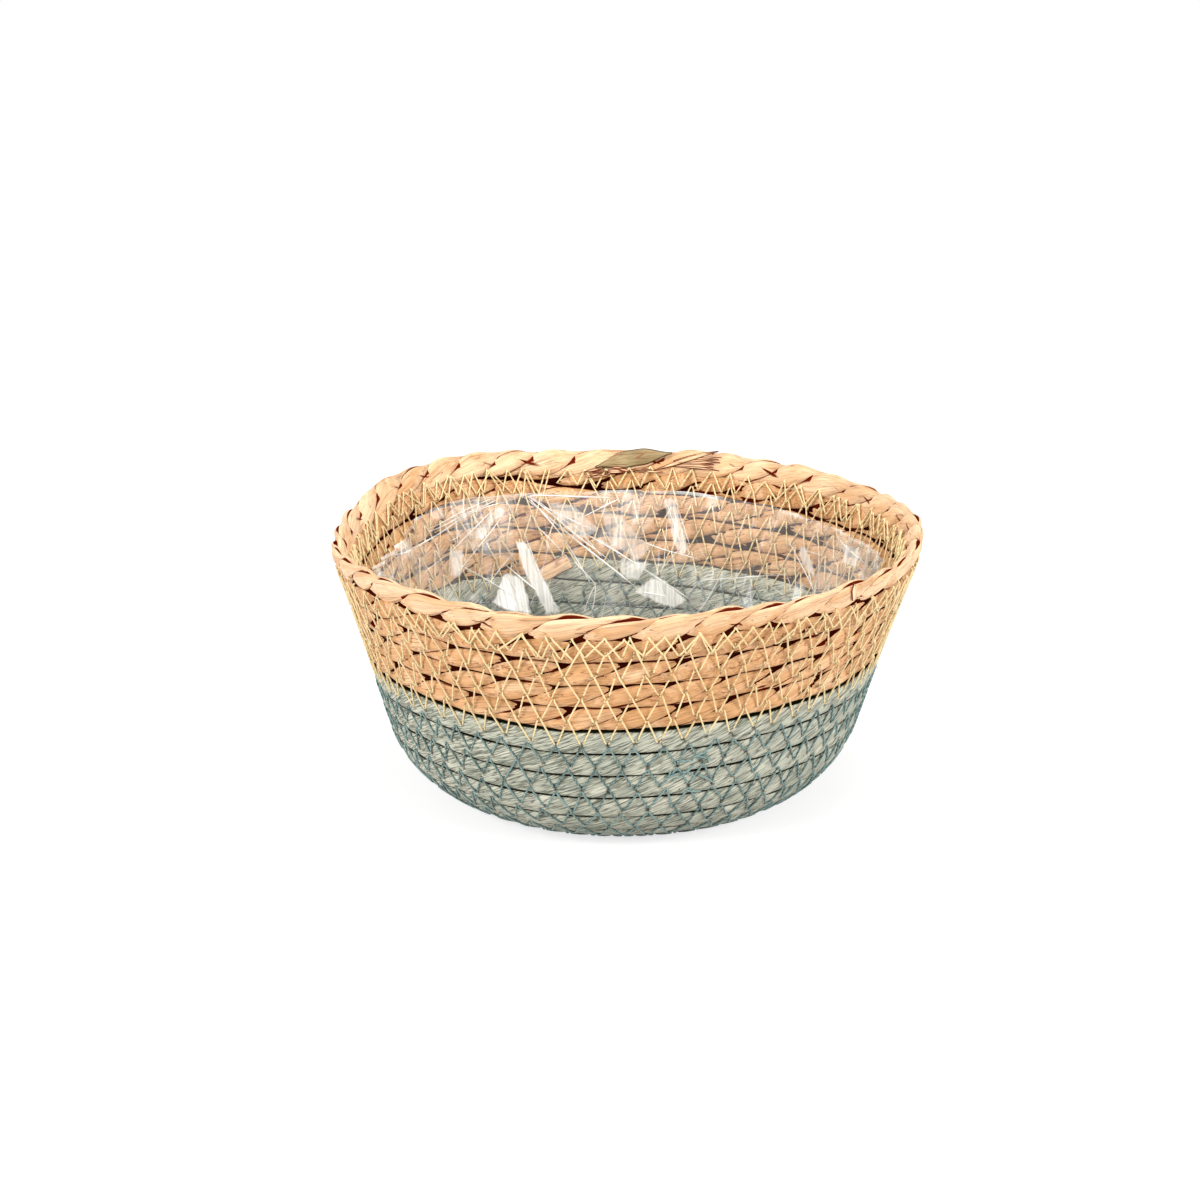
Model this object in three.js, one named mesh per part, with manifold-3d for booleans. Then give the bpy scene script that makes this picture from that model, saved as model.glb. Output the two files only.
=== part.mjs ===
// A round planter basket. A flat rope of dyed plant fibre is coiled from the middle of the base, bends up
// at the heel and becomes the lower wall. A straw plait follows the same route for the upper wall, and
// three thick strands, plaited into a ring, close the rim. A clear film liner lies inside.
import * as THREE from 'three';
import { mergeVertices } from 'three/addons/utils/BufferGeometryUtils.js';
import Module from 'manifold-3d';

const wasm = await Module();
wasm.setup();

// Dyed rope of the base and lower wall, in millimetres; its width lies along the wall
const ropeWidth = 9.0;
const ropeThickness = 5.5;
const ropeTurns = 13;

// Straw plait of the upper wall
const plaitWidth = 8.9;
const plaitThickness = 5.0;
const plaitTurns = 4;
const plaitLeastWidth = 3; // where the end of the plait thins out under the rim

// Route of the coil
const turnGap = 0.5; // from each turn to the next
const firstTurn = 0.625; // where the rope starts, in turns from the middle of the base
const baseRadius = 51.5; // flat part of the base
const heelRadius = 35; // bend from the base to the wall, at the middle of the rope
const wallLean = 16.9; // degrees from upright
const climbShare = 1 / 6; // share of a turn, at the back, in which the top rows climb to the next
const standCut = 0.1; // share of the rope's thickness that is pressed flat under the base
const endGap = 0.4; // from the end of one piece of rope to the start of the next

// Rim plait: three strands. Width and thickness are the means along a strand, which swells where it lies on
// a face of the plait and is pinched where it dives between the other two.
const strandWidth = 3.6;
const strandThickness = 2.3;
const strandSwell = 0.3;
const strandGap = 0.4; // where one strand passes another
const strandReach = 0.77; // swing from side to side, as a share of the strand's width
const strandLift = 0.83; // swing in and out, as a share of the strand's thickness and gap
const strandWaves = 13; // waves of each strand round the rim
const rimGap = 0.5; // from the upper wall to the rim plait
const rimOverhang = 0.5; // how far the rim plait sits out from the middle of the wall

// Film liner: a flat sheet pushed into the basket. It lies flat on the base and cuts the bend of the heel
// short, and its spare width stands in pleats that deepen towards the edge.
const linerThickness = 0.5;
const linerClearance = 0.35;
const linerDrop = 8; // from the top of the wall to the film's edge
const heelCut = 4; // how far it stands off the middle of the bend
const pleats = 12;
const pleatDepth = 6.5;
const pleatStart = 78; // distance from the middle of the base where the pleats begin
const pleatSway = 0.22; // how far a pleat is off its even place, as a share of a pleat

// Facets
const stepsPerTurn = 24;
const sides = 6;
const stepsPerWave = 12;
const stepsPerPleat = 4;
const heelSteps = 7;
const pleatSteps = 3;

const ropeColour = 0xbec0af;
const strawColour = 0xe5bd8e;
const rimColour = 0xf0cda6;
const filmColour = 0xf4f6f6;

const lean = THREE.MathUtils.degToRad(wallLean);
const heelAngle = Math.PI / 2 - lean;
const heelLength = heelRadius * heelAngle;
const baseHeight = ropeThickness * (0.5 - standCut);

// The wall's middle line in (radius, height): a flat base, a round heel and a straight leaning wall. along is
// the distance from the middle of the base, and slope is the angle of the line from level.
function wallLine(along) {
  const past = along - baseRadius;
  if (past <= 0) return { radius: along, height: baseHeight, slope: 0 };
  const slope = Math.min(past / heelRadius, heelAngle);
  const straight = Math.max(past - heelLength, 0);
  return {
    radius: baseRadius + heelRadius * Math.sin(slope) + straight * Math.cos(slope),
    height: baseHeight + heelRadius * (1 - Math.cos(slope)) + straight * Math.sin(slope),
    slope,
  };
}

// A point of the wall at an angle round the basket, a distance along the wall's line and a distance out
function wallPoint(angle, along, out) {
  const { radius, height, slope } = wallLine(along);
  const reach = radius + out * Math.sin(slope);
  return new THREE.Vector3(reach * Math.cos(angle), reach * Math.sin(angle), height - out * Math.cos(slope));
}

// Part of a turn by which an evenly rising turn is off the level one that climbs only at the back
function offLevel(turn) {
  const away = turn - Math.round(turn);
  const climbed = THREE.MathUtils.smoothstep(away, -climbShare / 2, climbShare / 2) - 0.5;
  return away - climbed;
}

// Lays the coil turn on turn. Each step starts where the turn under it ends, so the gap is even.
// The base is an even spiral. From the heel up each turn takes out a share of the rise, so that the last is
// level but for its climb at the back, where the rim can sit on it.
function layCoil() {
  const pitch = ropeWidth + turnGap;
  const heelTurn = Math.floor(baseRadius / pitch);
  const allTurns = ropeTurns + plaitTurns;
  const levelled = pitch / (allTurns - heelTurn);
  const steps = [];
  for (let i = 0; i <= stepsPerTurn * (allTurns + climbShare); i++) {
    const turn = i / stepsPerTurn;
    const under = steps[i - stepsPerTurn];
    const plain = turn < ropeTurns ? ropeWidth : plaitWidth;
    const width = turn < heelTurn ? plain : plain - levelled * offLevel(turn);
    const edge = under ? under.edge + under.width + turnGap : pitch * (turn - 0.5);
    steps.push({ turn, edge, width });
  }
  const beforeClimb = steps[Math.round(stepsPerTurn * (allTurns - climbShare))];
  const rimEdge = beforeClimb.edge + beforeClimb.width;
  for (const step of steps) {
    if (step.turn > allTurns - climbShare) step.width = Math.min(step.width, rimEdge - step.edge);
  }
  const thin = steps.findIndex((step) => step.turn > allTurns - climbShare && step.width < plaitLeastWidth);
  return { steps: steps.slice(0, thin), heelTurn, rimEdge };
}

const coil = layCoil();

// A closed solid from a row of rings of points, with flat ends or joined into a loop
function solidFromRings(rings, loop) {
  const count = rings[0].length;
  const positions = rings.flat().flatMap((point) => point.toArray());
  const indices = [];
  const spans = loop ? rings.length : rings.length - 1;
  for (let i = 0; i < spans; i++) {
    const here = i * count;
    const next = ((i + 1) % rings.length) * count;
    for (let k = 0; k < count; k++) {
      const beside = (k + 1) % count;
      indices.push(here + k, next + beside, next + k, here + k, here + beside, next + beside);
    }
  }
  if (!loop) {
    const last = (rings.length - 1) * count;
    for (let k = 1; k < count - 1; k++) {
      indices.push(0, k + 1, k);
      indices.push(last, last + k, last + k + 1);
    }
  }
  const geometry = new THREE.BufferGeometry();
  geometry.setAttribute('position', new THREE.Float32BufferAttribute(positions, 3));
  geometry.setIndex(indices);
  return geometry;
}

// The six corners of a flat cord's section: its wide faces are level and its edges meet the turns beside it
function cordCorner(k, width, thickness) {
  const turn = (2 * Math.PI * k) / sides;
  const flat = Math.sin((2 * Math.PI) / sides);
  return { across: (Math.cos(turn) * width) / 2, out: (Math.sin(turn) * thickness) / (2 * flat) };
}

// One ring of the coil, at a step that may lie between two whole ones
function coilRing(at, thickness) {
  const low = coil.steps[Math.floor(at)];
  const high = coil.steps[Math.ceil(at)];
  const share = at - Math.floor(at);
  const width = THREE.MathUtils.lerp(low.width, high.width, share);
  const middle = THREE.MathUtils.lerp(low.edge, high.edge, share) + width / 2;
  const angle = Math.PI / 2 + 2 * Math.PI * THREE.MathUtils.lerp(low.turn, high.turn, share);
  const ring = [];
  for (let k = 0; k < sides; k++) {
    const { across, out } = cordCorner(k, width, thickness);
    ring.push(wallPoint(angle, middle + across, out));
  }
  return ring;
}

// A stretch of the coil from one turn to another, its end drawn back from the next stretch
function coilStretch(fromTurn, toTurn, thickness) {
  const from = Math.round(fromTurn * stepsPerTurn);
  const to = Math.min(Math.round(toTurn * stepsPerTurn), coil.steps.length - 1);
  const rings = [];
  for (let i = from; i < to; i++) rings.push(coilRing(i, thickness));
  const { radius } = wallLine(coil.steps[to].edge);
  const stepLength = (2 * Math.PI * radius) / stepsPerTurn;
  rings.push(coilRing(to - endGap / stepLength, thickness));
  return { rings, geometry: solidFromRings(rings, false) };
}

function toManifold(geometry) {
  const bare = mergeVertices(geometry.clone());
  return new wasm.Manifold(new wasm.Mesh({
    numProp: 3,
    vertProperties: bare.getAttribute('position').array,
    triVerts: new Uint32Array(bare.getIndex().array),
  }));
}

function toGeometry(solid) {
  const mesh = solid.getMesh();
  const geometry = new THREE.BufferGeometry();
  geometry.setAttribute('position', new THREE.Float32BufferAttribute(mesh.vertProperties, 3));
  geometry.setIndex(Array.from(mesh.triVerts));
  return geometry;
}

// Takes off what would reach below the surface that the basket stands on
function cutFlat(geometry) {
  const across = 4 * (baseRadius + heelRadius);
  const ground = new THREE.BoxGeometry(across, across, ropeThickness);
  ground.translate(0, 0, -ropeThickness / 2);
  ground.deleteAttribute('normal');
  ground.deleteAttribute('uv');
  return toGeometry(toManifold(geometry).subtract(toManifold(ground)));
}

// A rim strand swings from side to side, and in and out twice as often, over one strand and under the next
const swing = strandReach * strandWidth;
const depthSwing = strandLift * (strandThickness + strandGap);
const rimMiddle = coil.rimEdge + rimGap + swing + strandWidth / 2;
const strandWave = (strand, share) => 2 * Math.PI * (share * strandWaves + strand / 3);

// The middle line of a rim strand. share goes from 0 to 1 round the rim.
function strandMiddle(strand, share) {
  const wave = strandWave(strand, share);
  const along = rimMiddle + swing * Math.sin(wave);
  const out = rimOverhang + depthSwing * Math.sin(2 * wave);
  return wallPoint(2 * Math.PI * share, along, out);
}

// One ring of a rim strand: an oval, square to the strand, with its wide side in the wall's direction
function strandRing(strand, share, corners) {
  const nudge = 0.01 / strandWaves;
  const middle = strandMiddle(strand, share);
  const ahead = strandMiddle(strand, share + nudge).sub(strandMiddle(strand, share - nudge)).normalize();
  const angle = 2 * Math.PI * share;
  const outward = wallPoint(angle, rimMiddle, 1).sub(wallPoint(angle, rimMiddle, 0));
  const wide = new THREE.Vector3().crossVectors(outward, ahead).normalize();
  const thick = new THREE.Vector3().crossVectors(ahead, wide);
  const swell = 1 - strandSwell * Math.cos(4 * strandWave(strand, share));
  const ring = [];
  for (let k = 0; k < corners; k++) {
    const turn = (2 * Math.PI * k) / corners;
    ring.push(middle.clone()
      .addScaledVector(wide, (Math.cos(turn) * swell * strandWidth) / 2)
      .addScaledVector(thick, (Math.sin(turn) * swell * strandThickness) / 2));
  }
  return ring;
}

function rimStrand(strand) {
  const count = strandWaves * stepsPerWave;
  const rings = [];
  for (let i = 0; i < count; i++) rings.push(strandRing(strand, i / count, sides));
  return solidFromRings(rings, true);
}

// How far the film stands in from the wall, at a place counted in pleats round the basket. It touches at both
// ends of the heel, so the floor is level out to the base's edge.
function filmStand(place, along) {
  const bend = THREE.MathUtils.clamp((along - baseRadius) / heelLength, 0, 1);
  const edge = coil.rimEdge - linerDrop;
  const deepening = THREE.MathUtils.smoothstep(along, pleatStart, edge);
  const ridge = 1 - Math.abs(2 * (place - Math.floor(place)) - 1);
  const size = pleatDepth * (0.75 + 0.25 * Math.cos(2.4 * Math.floor(place)));
  return heelCut * Math.sin(Math.PI * bend) ** 2 + deepening * size * ridge;
}

// The angle of a place counted in pleats: each valley is a little off its even place
function pleatAngle(place) {
  const valley = (k) => k + pleatSway * Math.sin(2.1 * (k % pleats));
  const low = Math.floor(place);
  const swayed = THREE.MathUtils.lerp(valley(low), valley(low + 1), place - low);
  return (2 * Math.PI * swayed) / pleats;
}

// The liner lies in the basket, clear of the flat facets of the coil. Each ring is its section at one angle.
function filmLiner() {
  const facetSag = 1 - Math.cos(Math.PI / stepsPerTurn);
  const heelTop = baseRadius + heelLength;
  const places = [0, baseRadius];
  for (let i = 1; i <= heelSteps; i++) places.push(baseRadius + (heelLength * i) / heelSteps);
  for (let i = 1; i <= pleatSteps; i++) {
    places.push(THREE.MathUtils.lerp(heelTop, coil.rimEdge - linerDrop, i / pleatSteps));
  }
  const rings = [];
  for (let i = 0; i < pleats * stepsPerPleat; i++) {
    const place = i / stepsPerPleat;
    const side = (inset) => places.map((along) => {
      const { radius, slope } = wallLine(along);
      const sag = radius * facetSag * Math.sin(slope);
      const clear = ropeThickness / 2 + linerClearance + inset + sag + filmStand(place, along);
      return wallPoint(pleatAngle(place), along, -clear);
    });
    rings.push([...side(linerThickness), ...side(0).reverse()]);
  }
  return solidFromRings(rings, true);
}

// Least distance between two lists of points
function leastDistance(some, others) {
  let least = Infinity;
  for (const one of some) {
    for (const other of others) least = Math.min(least, one.distanceToSquared(other));
  }
  return Math.sqrt(least);
}

// Least gap of a coil to itself, from each ring's points to those of the turns beside it
function coilGap(rings) {
  let least = Infinity;
  for (let i = 0; i < rings.length; i++) {
    const near = rings.slice(i + stepsPerTurn - 2, i + stepsPerTurn + 3).flat();
    least = Math.min(least, leastDistance(rings[i], near));
  }
  return least;
}

// Least gap between two rim strands, on fine rings over one wave
function strandsGap() {
  const fine = 4 * stepsPerWave;
  const points = (strand, from, to) => {
    const list = [];
    for (let i = from; i <= to; i++) list.push(...strandRing(strand, i / (fine * strandWaves), 4 * sides));
    return list;
  };
  return leastDistance(points(0, 0, fine), points(1, -fine / 4, (5 * fine) / 4));
}

const basket = new THREE.Group();

function addPiece(name, geometry, color, roughness) {
  const mesh = new THREE.Mesh(geometry, new THREE.MeshStandardMaterial({ color, roughness, metalness: 0 }));
  mesh.name = name;
  basket.add(mesh);
}

const heelEnd = Math.ceil((baseRadius + heelLength) / (ropeWidth + turnGap));
const stretches = [
  { name: 'base_coil', from: firstTurn, to: coil.heelTurn, thickness: ropeThickness, stands: true },
  { name: 'heel_coil', from: coil.heelTurn, to: heelEnd, thickness: ropeThickness, stands: true },
  { name: 'wall_coil', from: heelEnd, to: ropeTurns, thickness: ropeThickness },
  { name: 'straw_plait', from: ropeTurns, to: Infinity, thickness: plaitThickness, colour: strawColour },
];
for (const { name, from, to, thickness, stands, colour } of stretches) {
  const { rings, geometry } = coilStretch(from, to, thickness);
  addPiece(name, stands ? cutFlat(geometry) : geometry, colour ?? ropeColour, 0.85);
  console.log(`${name}: least gap to itself ${coilGap(rings).toFixed(2)} mm`);
}
for (let strand = 0; strand < 3; strand++) {
  addPiece(`rim_strand_${strand + 1}`, rimStrand(strand), rimColour, 0.6);
}
console.log(`rim strands: least gap between two ${strandsGap().toFixed(2)} mm`);
addPiece('liner', filmLiner(), filmColour, 0.15);

export default basket;
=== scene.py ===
"""A round planter basket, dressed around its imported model.

The lower wall and the base are a flat rope of dyed plant fibre, coiled and sewn with a green zigzag. The
upper wall is a straw plait on the same coil, sewn with a straw-coloured zigzag. Three thicker strands are
plaited into the rim, and a creased clear film lies inside. All lengths are in metres.
"""

import math

import bpy
import numpy as np
from bpy.props import FloatProperty, FloatVectorProperty, IntProperty, PointerProperty
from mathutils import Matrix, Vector


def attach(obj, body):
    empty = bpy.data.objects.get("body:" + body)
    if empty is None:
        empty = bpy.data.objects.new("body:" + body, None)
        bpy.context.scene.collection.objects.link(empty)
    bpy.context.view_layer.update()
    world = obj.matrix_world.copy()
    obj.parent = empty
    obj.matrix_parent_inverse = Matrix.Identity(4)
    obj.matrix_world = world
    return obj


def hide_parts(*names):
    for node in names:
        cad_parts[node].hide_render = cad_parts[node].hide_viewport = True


bl_info = {
    "name": "Straw Basket",
    "version": (1, 0, 0),
    "blender": (4, 5, 0),
    "location": "3D View > Sidebar > Basket",
    "description": "Dresses the coiled straw planter basket: rope, plaits, stitches, film and studio",
    "category": "Object",
}

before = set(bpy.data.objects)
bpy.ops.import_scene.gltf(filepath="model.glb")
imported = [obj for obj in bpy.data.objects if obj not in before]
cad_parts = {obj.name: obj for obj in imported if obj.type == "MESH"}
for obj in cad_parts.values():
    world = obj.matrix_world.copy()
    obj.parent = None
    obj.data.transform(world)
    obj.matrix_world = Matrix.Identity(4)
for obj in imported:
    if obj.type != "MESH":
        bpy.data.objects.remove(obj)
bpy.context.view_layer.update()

# The route of the coil, as the solids have it
ROPE_WIDTH = 0.0090
ROPE_THICKNESS = 0.0055
ROPE_TURNS = 13
PLAIT_WIDTH = 0.0089
PLAIT_TURNS = 4
TURN_GAP = 0.0005
FIRST_TURN = 0.625
BASE_RADIUS = 0.0515
HEEL_RADIUS = 0.035
WALL_LEAN = math.radians(16.9)
CLIMB_SHARE = 1 / 6
STAND_CUT = 0.1
LEAST_WIDTH = 0.0007
SEAM_ANGLE = math.radians(107)

# The rim plait's strands, as the solids have them
STRAND_WIDTH = 0.0036
STRAND_REACH = 0.77
STRAND_WAVES = 13
RIM_GAP = 0.0005

# The film's main folds, as the solids have them
FILM_DROP = 0.008
HEEL_CUT = 0.004
PLEATS = 12
PLEAT_DEPTH = 0.0065
PLEAT_START = 0.078
PLEAT_SWAY = 0.22

# Slow waves of the hand-sewn shape, read off the photo's outline: harmonic, cosine and sine, in
# millimetres. The first reach grows over the wall, the second over its last rows, and the rise over the
# wall.
WALL_REACH = ((1, 0.32, 0.16), (2, -0.05, 0.47), (3, 1.29, 0.28))
RIM_REACH = ((0, 1.05, 0), (1, 0.61, -0.23), (2, -0.49, -0.30), (3, -0.18, -0.95), (4, -0.80, -0.08))
WALL_RISE = (
    (0, 1.22, 0), (1, 0.17, -0.75), (2, 0.18, -0.58), (3, 0.96, -0.23), (4, -0.92, -0.03), (5, 0.76, -0.16),
)

# How far along the wall those waves grow, and how far the rows wander up and down
WALL_GROWTH = 0.1
RIM_GROWTH_START = 0.115
RIM_GROWTH = 0.05
ROW_WANDER = 0.00030

HEEL_ANGLE = math.pi / 2 - WALL_LEAN
HEEL_LENGTH = HEEL_RADIUS * HEEL_ANGLE
BASE_HEIGHT = ROPE_THICKNESS * (0.5 - STAND_CUT)
PITCH = ROPE_WIDTH + TURN_GAP
ALL_TURNS = ROPE_TURNS + PLAIT_TURNS
HEEL_TURN = math.floor(BASE_RADIUS / PITCH)
HEEL_END = math.ceil((BASE_RADIUS + HEEL_LENGTH) / PITCH)

# The rope's section: how square its oval is, how much wider than its row it is, so that turns touch, how
# much its lumps add, and how far its faces lie inside the solid's to make room for them
ROPE_SQUARE = 0.52
ROPE_PRESS = 1.12 * TURN_GAP
ROPE_LUMPS = 0.00015
ROPE_ROOM = 0.00006

# The slant of the rope's twist, how many turns its flattened start takes, and in which share of a turn that
# start joins the coil
ROPE_SLANT = 0.45
START_TURNS = 1.10
START_JOIN = 0.1

# The seams: their first and last turn, the length of one zigzag, the heights of its upper and lower holes
# above the middle of their rows, and the seed of its random shifts
GREEN_SEAM = {
    "first": 1.15, "last": ROPE_TURNS, "stitch": 0.0091, "upper": -0.0017, "lower": -0.0002, "seed": 21,
}
STRAW_SEAM = {
    "first": ROPE_TURNS, "last": ALL_TURNS, "stitch": 0.0088, "upper": 0.0002, "lower": -0.0002, "seed": 31,
}

# How far the ends of a stitch are off their places, how deep it draws the surface in at its hole, how far
# out from the wall's middle the green thread lies, and how much further in the straw-coloured one sinks
STITCH_SHIFT = 0.00050
HOLE_DEPTH = 0.00025
THREAD_REACH = ROPE_THICKNESS / 2 + 0.00010
THREAD_SINK = 0.00015

# The plaits. swing, lift and twist are how far a strand swings across, goes in and out and crosses over,
# and uneven is how much the last of them changes, by the seed's noise. width and thickness are the
# strand's, and shares is each strand's own share of them. point is how much it narrows where it dives,
# roll tilts its section, flare tilts the whole plait, and square below 1 flattens its faces. edge is how
# far across the plait its neighbours begin, and seam is how much painted shade darkens it near there.
# inner_line weakens the painted contact shadows on the inside, and the key after it paints shade over the
# inside. core is the width of the cord in the middle, which is painted wholly in the shade colour.
STRAW_PLAIT = {
    "swing": 0.0026, "lift": 0.00028, "twist": 0.00055, "uneven": 0.45, "seed": 51, "width": 0.0073,
    "thickness": 0.0031, "point": 0.47, "roll": -0.05, "flare": 0.0, "square": 0.70, "edge": 0.0049,
    "seam": 0.1, "inner_line": 0.8, "painted_inner_shade": 0.0, "shares": (1.06, 0.92, 1.02), "core": 0.0106,
}
RIM_PLAIT = {
    "swing": 0.0026, "lift": 0.00028, "twist": 0.00080, "uneven": 0.25, "seed": 52, "width": 0.0090,
    "thickness": 0.0033, "point": 0.50, "roll": -0.10, "flare": 0.24, "square": 0.85, "edge": 0.02,
    "seam": 0.0, "inner_line": 0.55, "painted_inner_shade": 0.25, "shares": (1.10, 0.82, 1.03), "core": 0.0100,
}

# How far the rim plait's middle, and the cord inside it, sit below the middle of the solids' strands
RIM_SINK = 0.0012
RIM_CORE_SINK = 0.0014

# The folds along a strand, as angles round its section, and how wide they are
LEAF_FOLDS = (0.8, 1.5, 2.3, 3.9, 4.6, 5.5)
LEAF_FOLD_WIDTH = 0.12

# The most that the attribute cover gives, where no other strand is near
FAR = 0.005

# How far the film stands in from the rope before its folds are added, and its colour where it is not
# clear: the white of its milkiness and of its painted highlights
FILM_CLEARANCE = 0.0006
FILM_HAZE_AND_HIGHLIGHT_WHITE = (0.96, 0.945, 0.90)

# Painted highlights on facets of the film that would mirror a lamp: how white, then corners on the flat
# film, in millimetres from its middle
GLARES = (
    (0.95, ((-66, 102), (-70, 87), (-60, 89), (-47, 94), (-55, 106), (-63, 104))),
    (0.88, ((-66, 117), (-59, 120), (-32, 100), (-40, 96))),
    (0.80, ((5, 113), (19, 118), (29, 112), (36, 104), (27, 102), (14, 109))),
    (0.60, ((27, 148), (36, 146), (41, 124), (37, 122), (32, 128))),
    (0.65, ((-78, 126), (-74, 125), (-92, 98), (-98, 81), (-104, 84))),
    (0.55, ((102, 97), (113, 85), (112, 78), (106, 65), (100, 71), (106, 81))),
    (0.60, ((139, 50), (145, 40), (147, 20), (140, 25), (136, 40))),
    (0.60, ((-105, 87), (-95, 94), (-93, 83), (-98, 79))),
    (0.42, ((-16, 147), (0, 143), (18, 130), (10, 125), (-6, 131))),
    (0.45, ((-50, 141), (-31, 145), (-14, 137), (-26, 131), (-43, 135))),
    (0.55, ((-2, 127), (16, 124), (10, 117), (-1, 118))),
)

# Long sharp folds of the film, white lines that are partly the folded film and partly painted highlight:
# start, middle and end on the flat film, and the fold's thickness, in millimetres
LONG_FOLDS = (
    (-65, 136, -23, 129, 14, 110, 0.85), (-63, 138, -34, 134, -7, 125, 0.7),
    (-62, 138, -7, 130, 38, 104, 0.55), (-53, 137, -34, 138, -16, 136, 0.8),
    (-151, 22, -109, 94, -72, 131, 0.7), (-62, 137, -49, 134, -37, 129, 0.7),
    (-37, 129, -27, 123, -18, 115, 0.7), (-67, 106, -50, 104, -33, 101, 0.7),
    (-29, 122, -22, 119, -15, 115, 0.7), (-15, 115, -18, 109, -20, 103, 0.6),
    (-15, 115, -15, 109, -16, 104, 0.55), (-63, 137, -35, 147, -5, 150, 0.7),
    (-25, 141, -13, 146, -1, 150, 0.7), (-122, 80, -100, 107, -78, 129, 0.7),
    (-121, 83, -102, 107, -80, 129, 0.6), (11, 133, 29, 126, 47, 118, 0.5),
    (28, 148, 34, 135, 38, 122, 0.6), (35, 147, 39, 135, 42, 124, 0.5), (-14, 133, 13, 121, 38, 104, 0.6),
    (134, 65, 142, 40, 145, 16, 0.6), (45, 110, 70, 101, 96, 85, 0.5), (-102, 84, -77, 93, -55, 97, 0.55),
    (-104, 86, -92, 106, -78, 126, 0.6), (-97, 81, -85, 104, -74, 124, 0.5),
    (102, 97, 106, 81, 106, 66, 0.55), (112, 85, 108, 77, 106, 66, 0.5), (5, 113, 20, 110, 36, 104, 0.55),
    (19, 118, 23, 110, 27, 102, 0.45), (-60, 122, -48, 110, -35, 98, 0.6),
    (-66, 104, -57, 98, -48, 92, 0.5), (-40, 140, -25, 134, -12, 126, 0.5),
    (-55, 128, -42, 125, -30, 121, 0.5),
)

# The softboxes: name, place, side of the square and watts
SOFTBOXES = (
    ("softbox_left", (-1.15, -0.95, 0.85), 0.60, 21.0),
    ("softbox_right", (1.20, -0.85, 0.75), 0.60, 18.0),
    ("softbox_top", (0.10, -0.05, 1.45), 0.70, 13.0),
)
LAMP_AIM = (0, 0, 0.05)

# The camera: the point it looks at, its lens in millimetres for each metre away, and the shift of its frame
CAMERA_AIM = (0, 0, 0.045)
LENS_PER_METRE = 80.3
FRAME_SHIFT = (-0.0185, 0.0500)

# The size of the floor from its middle, and how far it lies below the basket
FLOOR_HALF = 0.7
FLOOR_DROP = 0.0002


def from_hex(text):
    """An sRGB colour written as hex, as linear red, green and blue."""
    channels = [int(text[i : i + 2], 16) / 255 for i in (0, 2, 4)]
    return tuple(c / 12.92 if c <= 0.04045 else ((c + 0.055) / 1.055) ** 2.4 for c in channels)


# Waves and noise


def smooth_step(x):
    """A rise from 0 to 1 with level ends, by three times the square less twice the cube."""
    x = np.clip(x, 0, 1)
    return x * x * (3 - 2 * x)


def triangle(x):
    """A wave of straight lines between 1 at each whole number and 0 halfway."""
    return np.abs(2 * (x - np.floor(x)) - 1)


def power(x, exponent):
    """x to a power with its sign kept, which squares up a round section."""
    return np.sign(x) * np.abs(x) ** exponent


def noise(x, y, seed):
    """Random heights from -1 to 1 on a whole-number lattice, blended between neighbours by smooth_step."""
    columns, rows = 256, 64
    table = np.random.default_rng(seed).uniform(-1, 1, (columns, rows))
    x, y = np.broadcast_arrays(x, y)
    column, row = np.floor(x).astype(int), np.floor(y).astype(int)
    across, up = smooth_step(x - column), smooth_step(y - row)

    def along_row(step):
        level = (row + step) % rows
        return table[column % columns, level] * (1 - across) + table[(column + 1) % columns, level] * across

    return along_row(0) * (1 - up) + along_row(1) * up


def ripple(angle, first, last, seed):
    """A wave round the basket that closes on itself: harmonics first to last with random phases and sizes."""
    rng = np.random.default_rng(seed)
    total = np.zeros_like(np.asarray(angle, float))
    for harmonic in range(first, last + 1):
        total += rng.uniform(0.5, 1) * np.sin(harmonic * angle + rng.uniform(0, 2 * math.pi))
    return total / math.sqrt(last - first + 1)


def slow_wave(angle, waves):
    """The sum of a cosine and a sine for each harmonic of a turn, from millimetres to metres."""
    return 0.001 * sum(c * np.cos(n * angle) + s * np.sin(n * angle) for n, c, s in waves)


# The basket's wall and the coil on it


def wall_line(along):
    """Radius, height and slope of the wall's middle line at a distance along it from the middle of the
    base: a level line, then an arc of the heel's radius, then a straight line that leans out."""
    past = np.maximum(along - BASE_RADIUS, 0)
    slope = np.minimum(past / HEEL_RADIUS, HEEL_ANGLE)
    straight = np.maximum(past - HEEL_LENGTH, 0)
    radius = np.minimum(along, BASE_RADIUS) + HEEL_RADIUS * np.sin(slope) + straight * np.cos(slope)
    height = BASE_HEIGHT + HEEL_RADIUS * (1 - np.cos(slope)) + straight * np.sin(slope)
    return radius, height, slope


def wall_point(angle, along, out):
    """The point at an angle round the basket, a distance along the wall's line and a distance out from it.
    The hand-sewn shape adds slow waves that grow with height: in its reach, in its height and along the
    rows."""
    lift = smooth_step((along - BASE_RADIUS) / WALL_GROWTH)
    flare = smooth_step((along - RIM_GROWTH_START) / RIM_GROWTH)
    along = along + lift * ROW_WANDER * ripple(angle, 6, 19, 1)
    radius, height, slope = wall_line(along)
    reach = radius + out * np.sin(slope) + lift * slow_wave(angle, WALL_REACH)
    reach = reach + flare * slow_wave(angle, RIM_REACH)
    rise = height - out * np.cos(slope) + lift * slow_wave(angle, WALL_RISE)
    rise = np.maximum(rise, 0.0) + 0 * reach
    return np.stack([reach * np.cos(angle), reach * np.sin(angle), rise], axis=-1)


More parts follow.
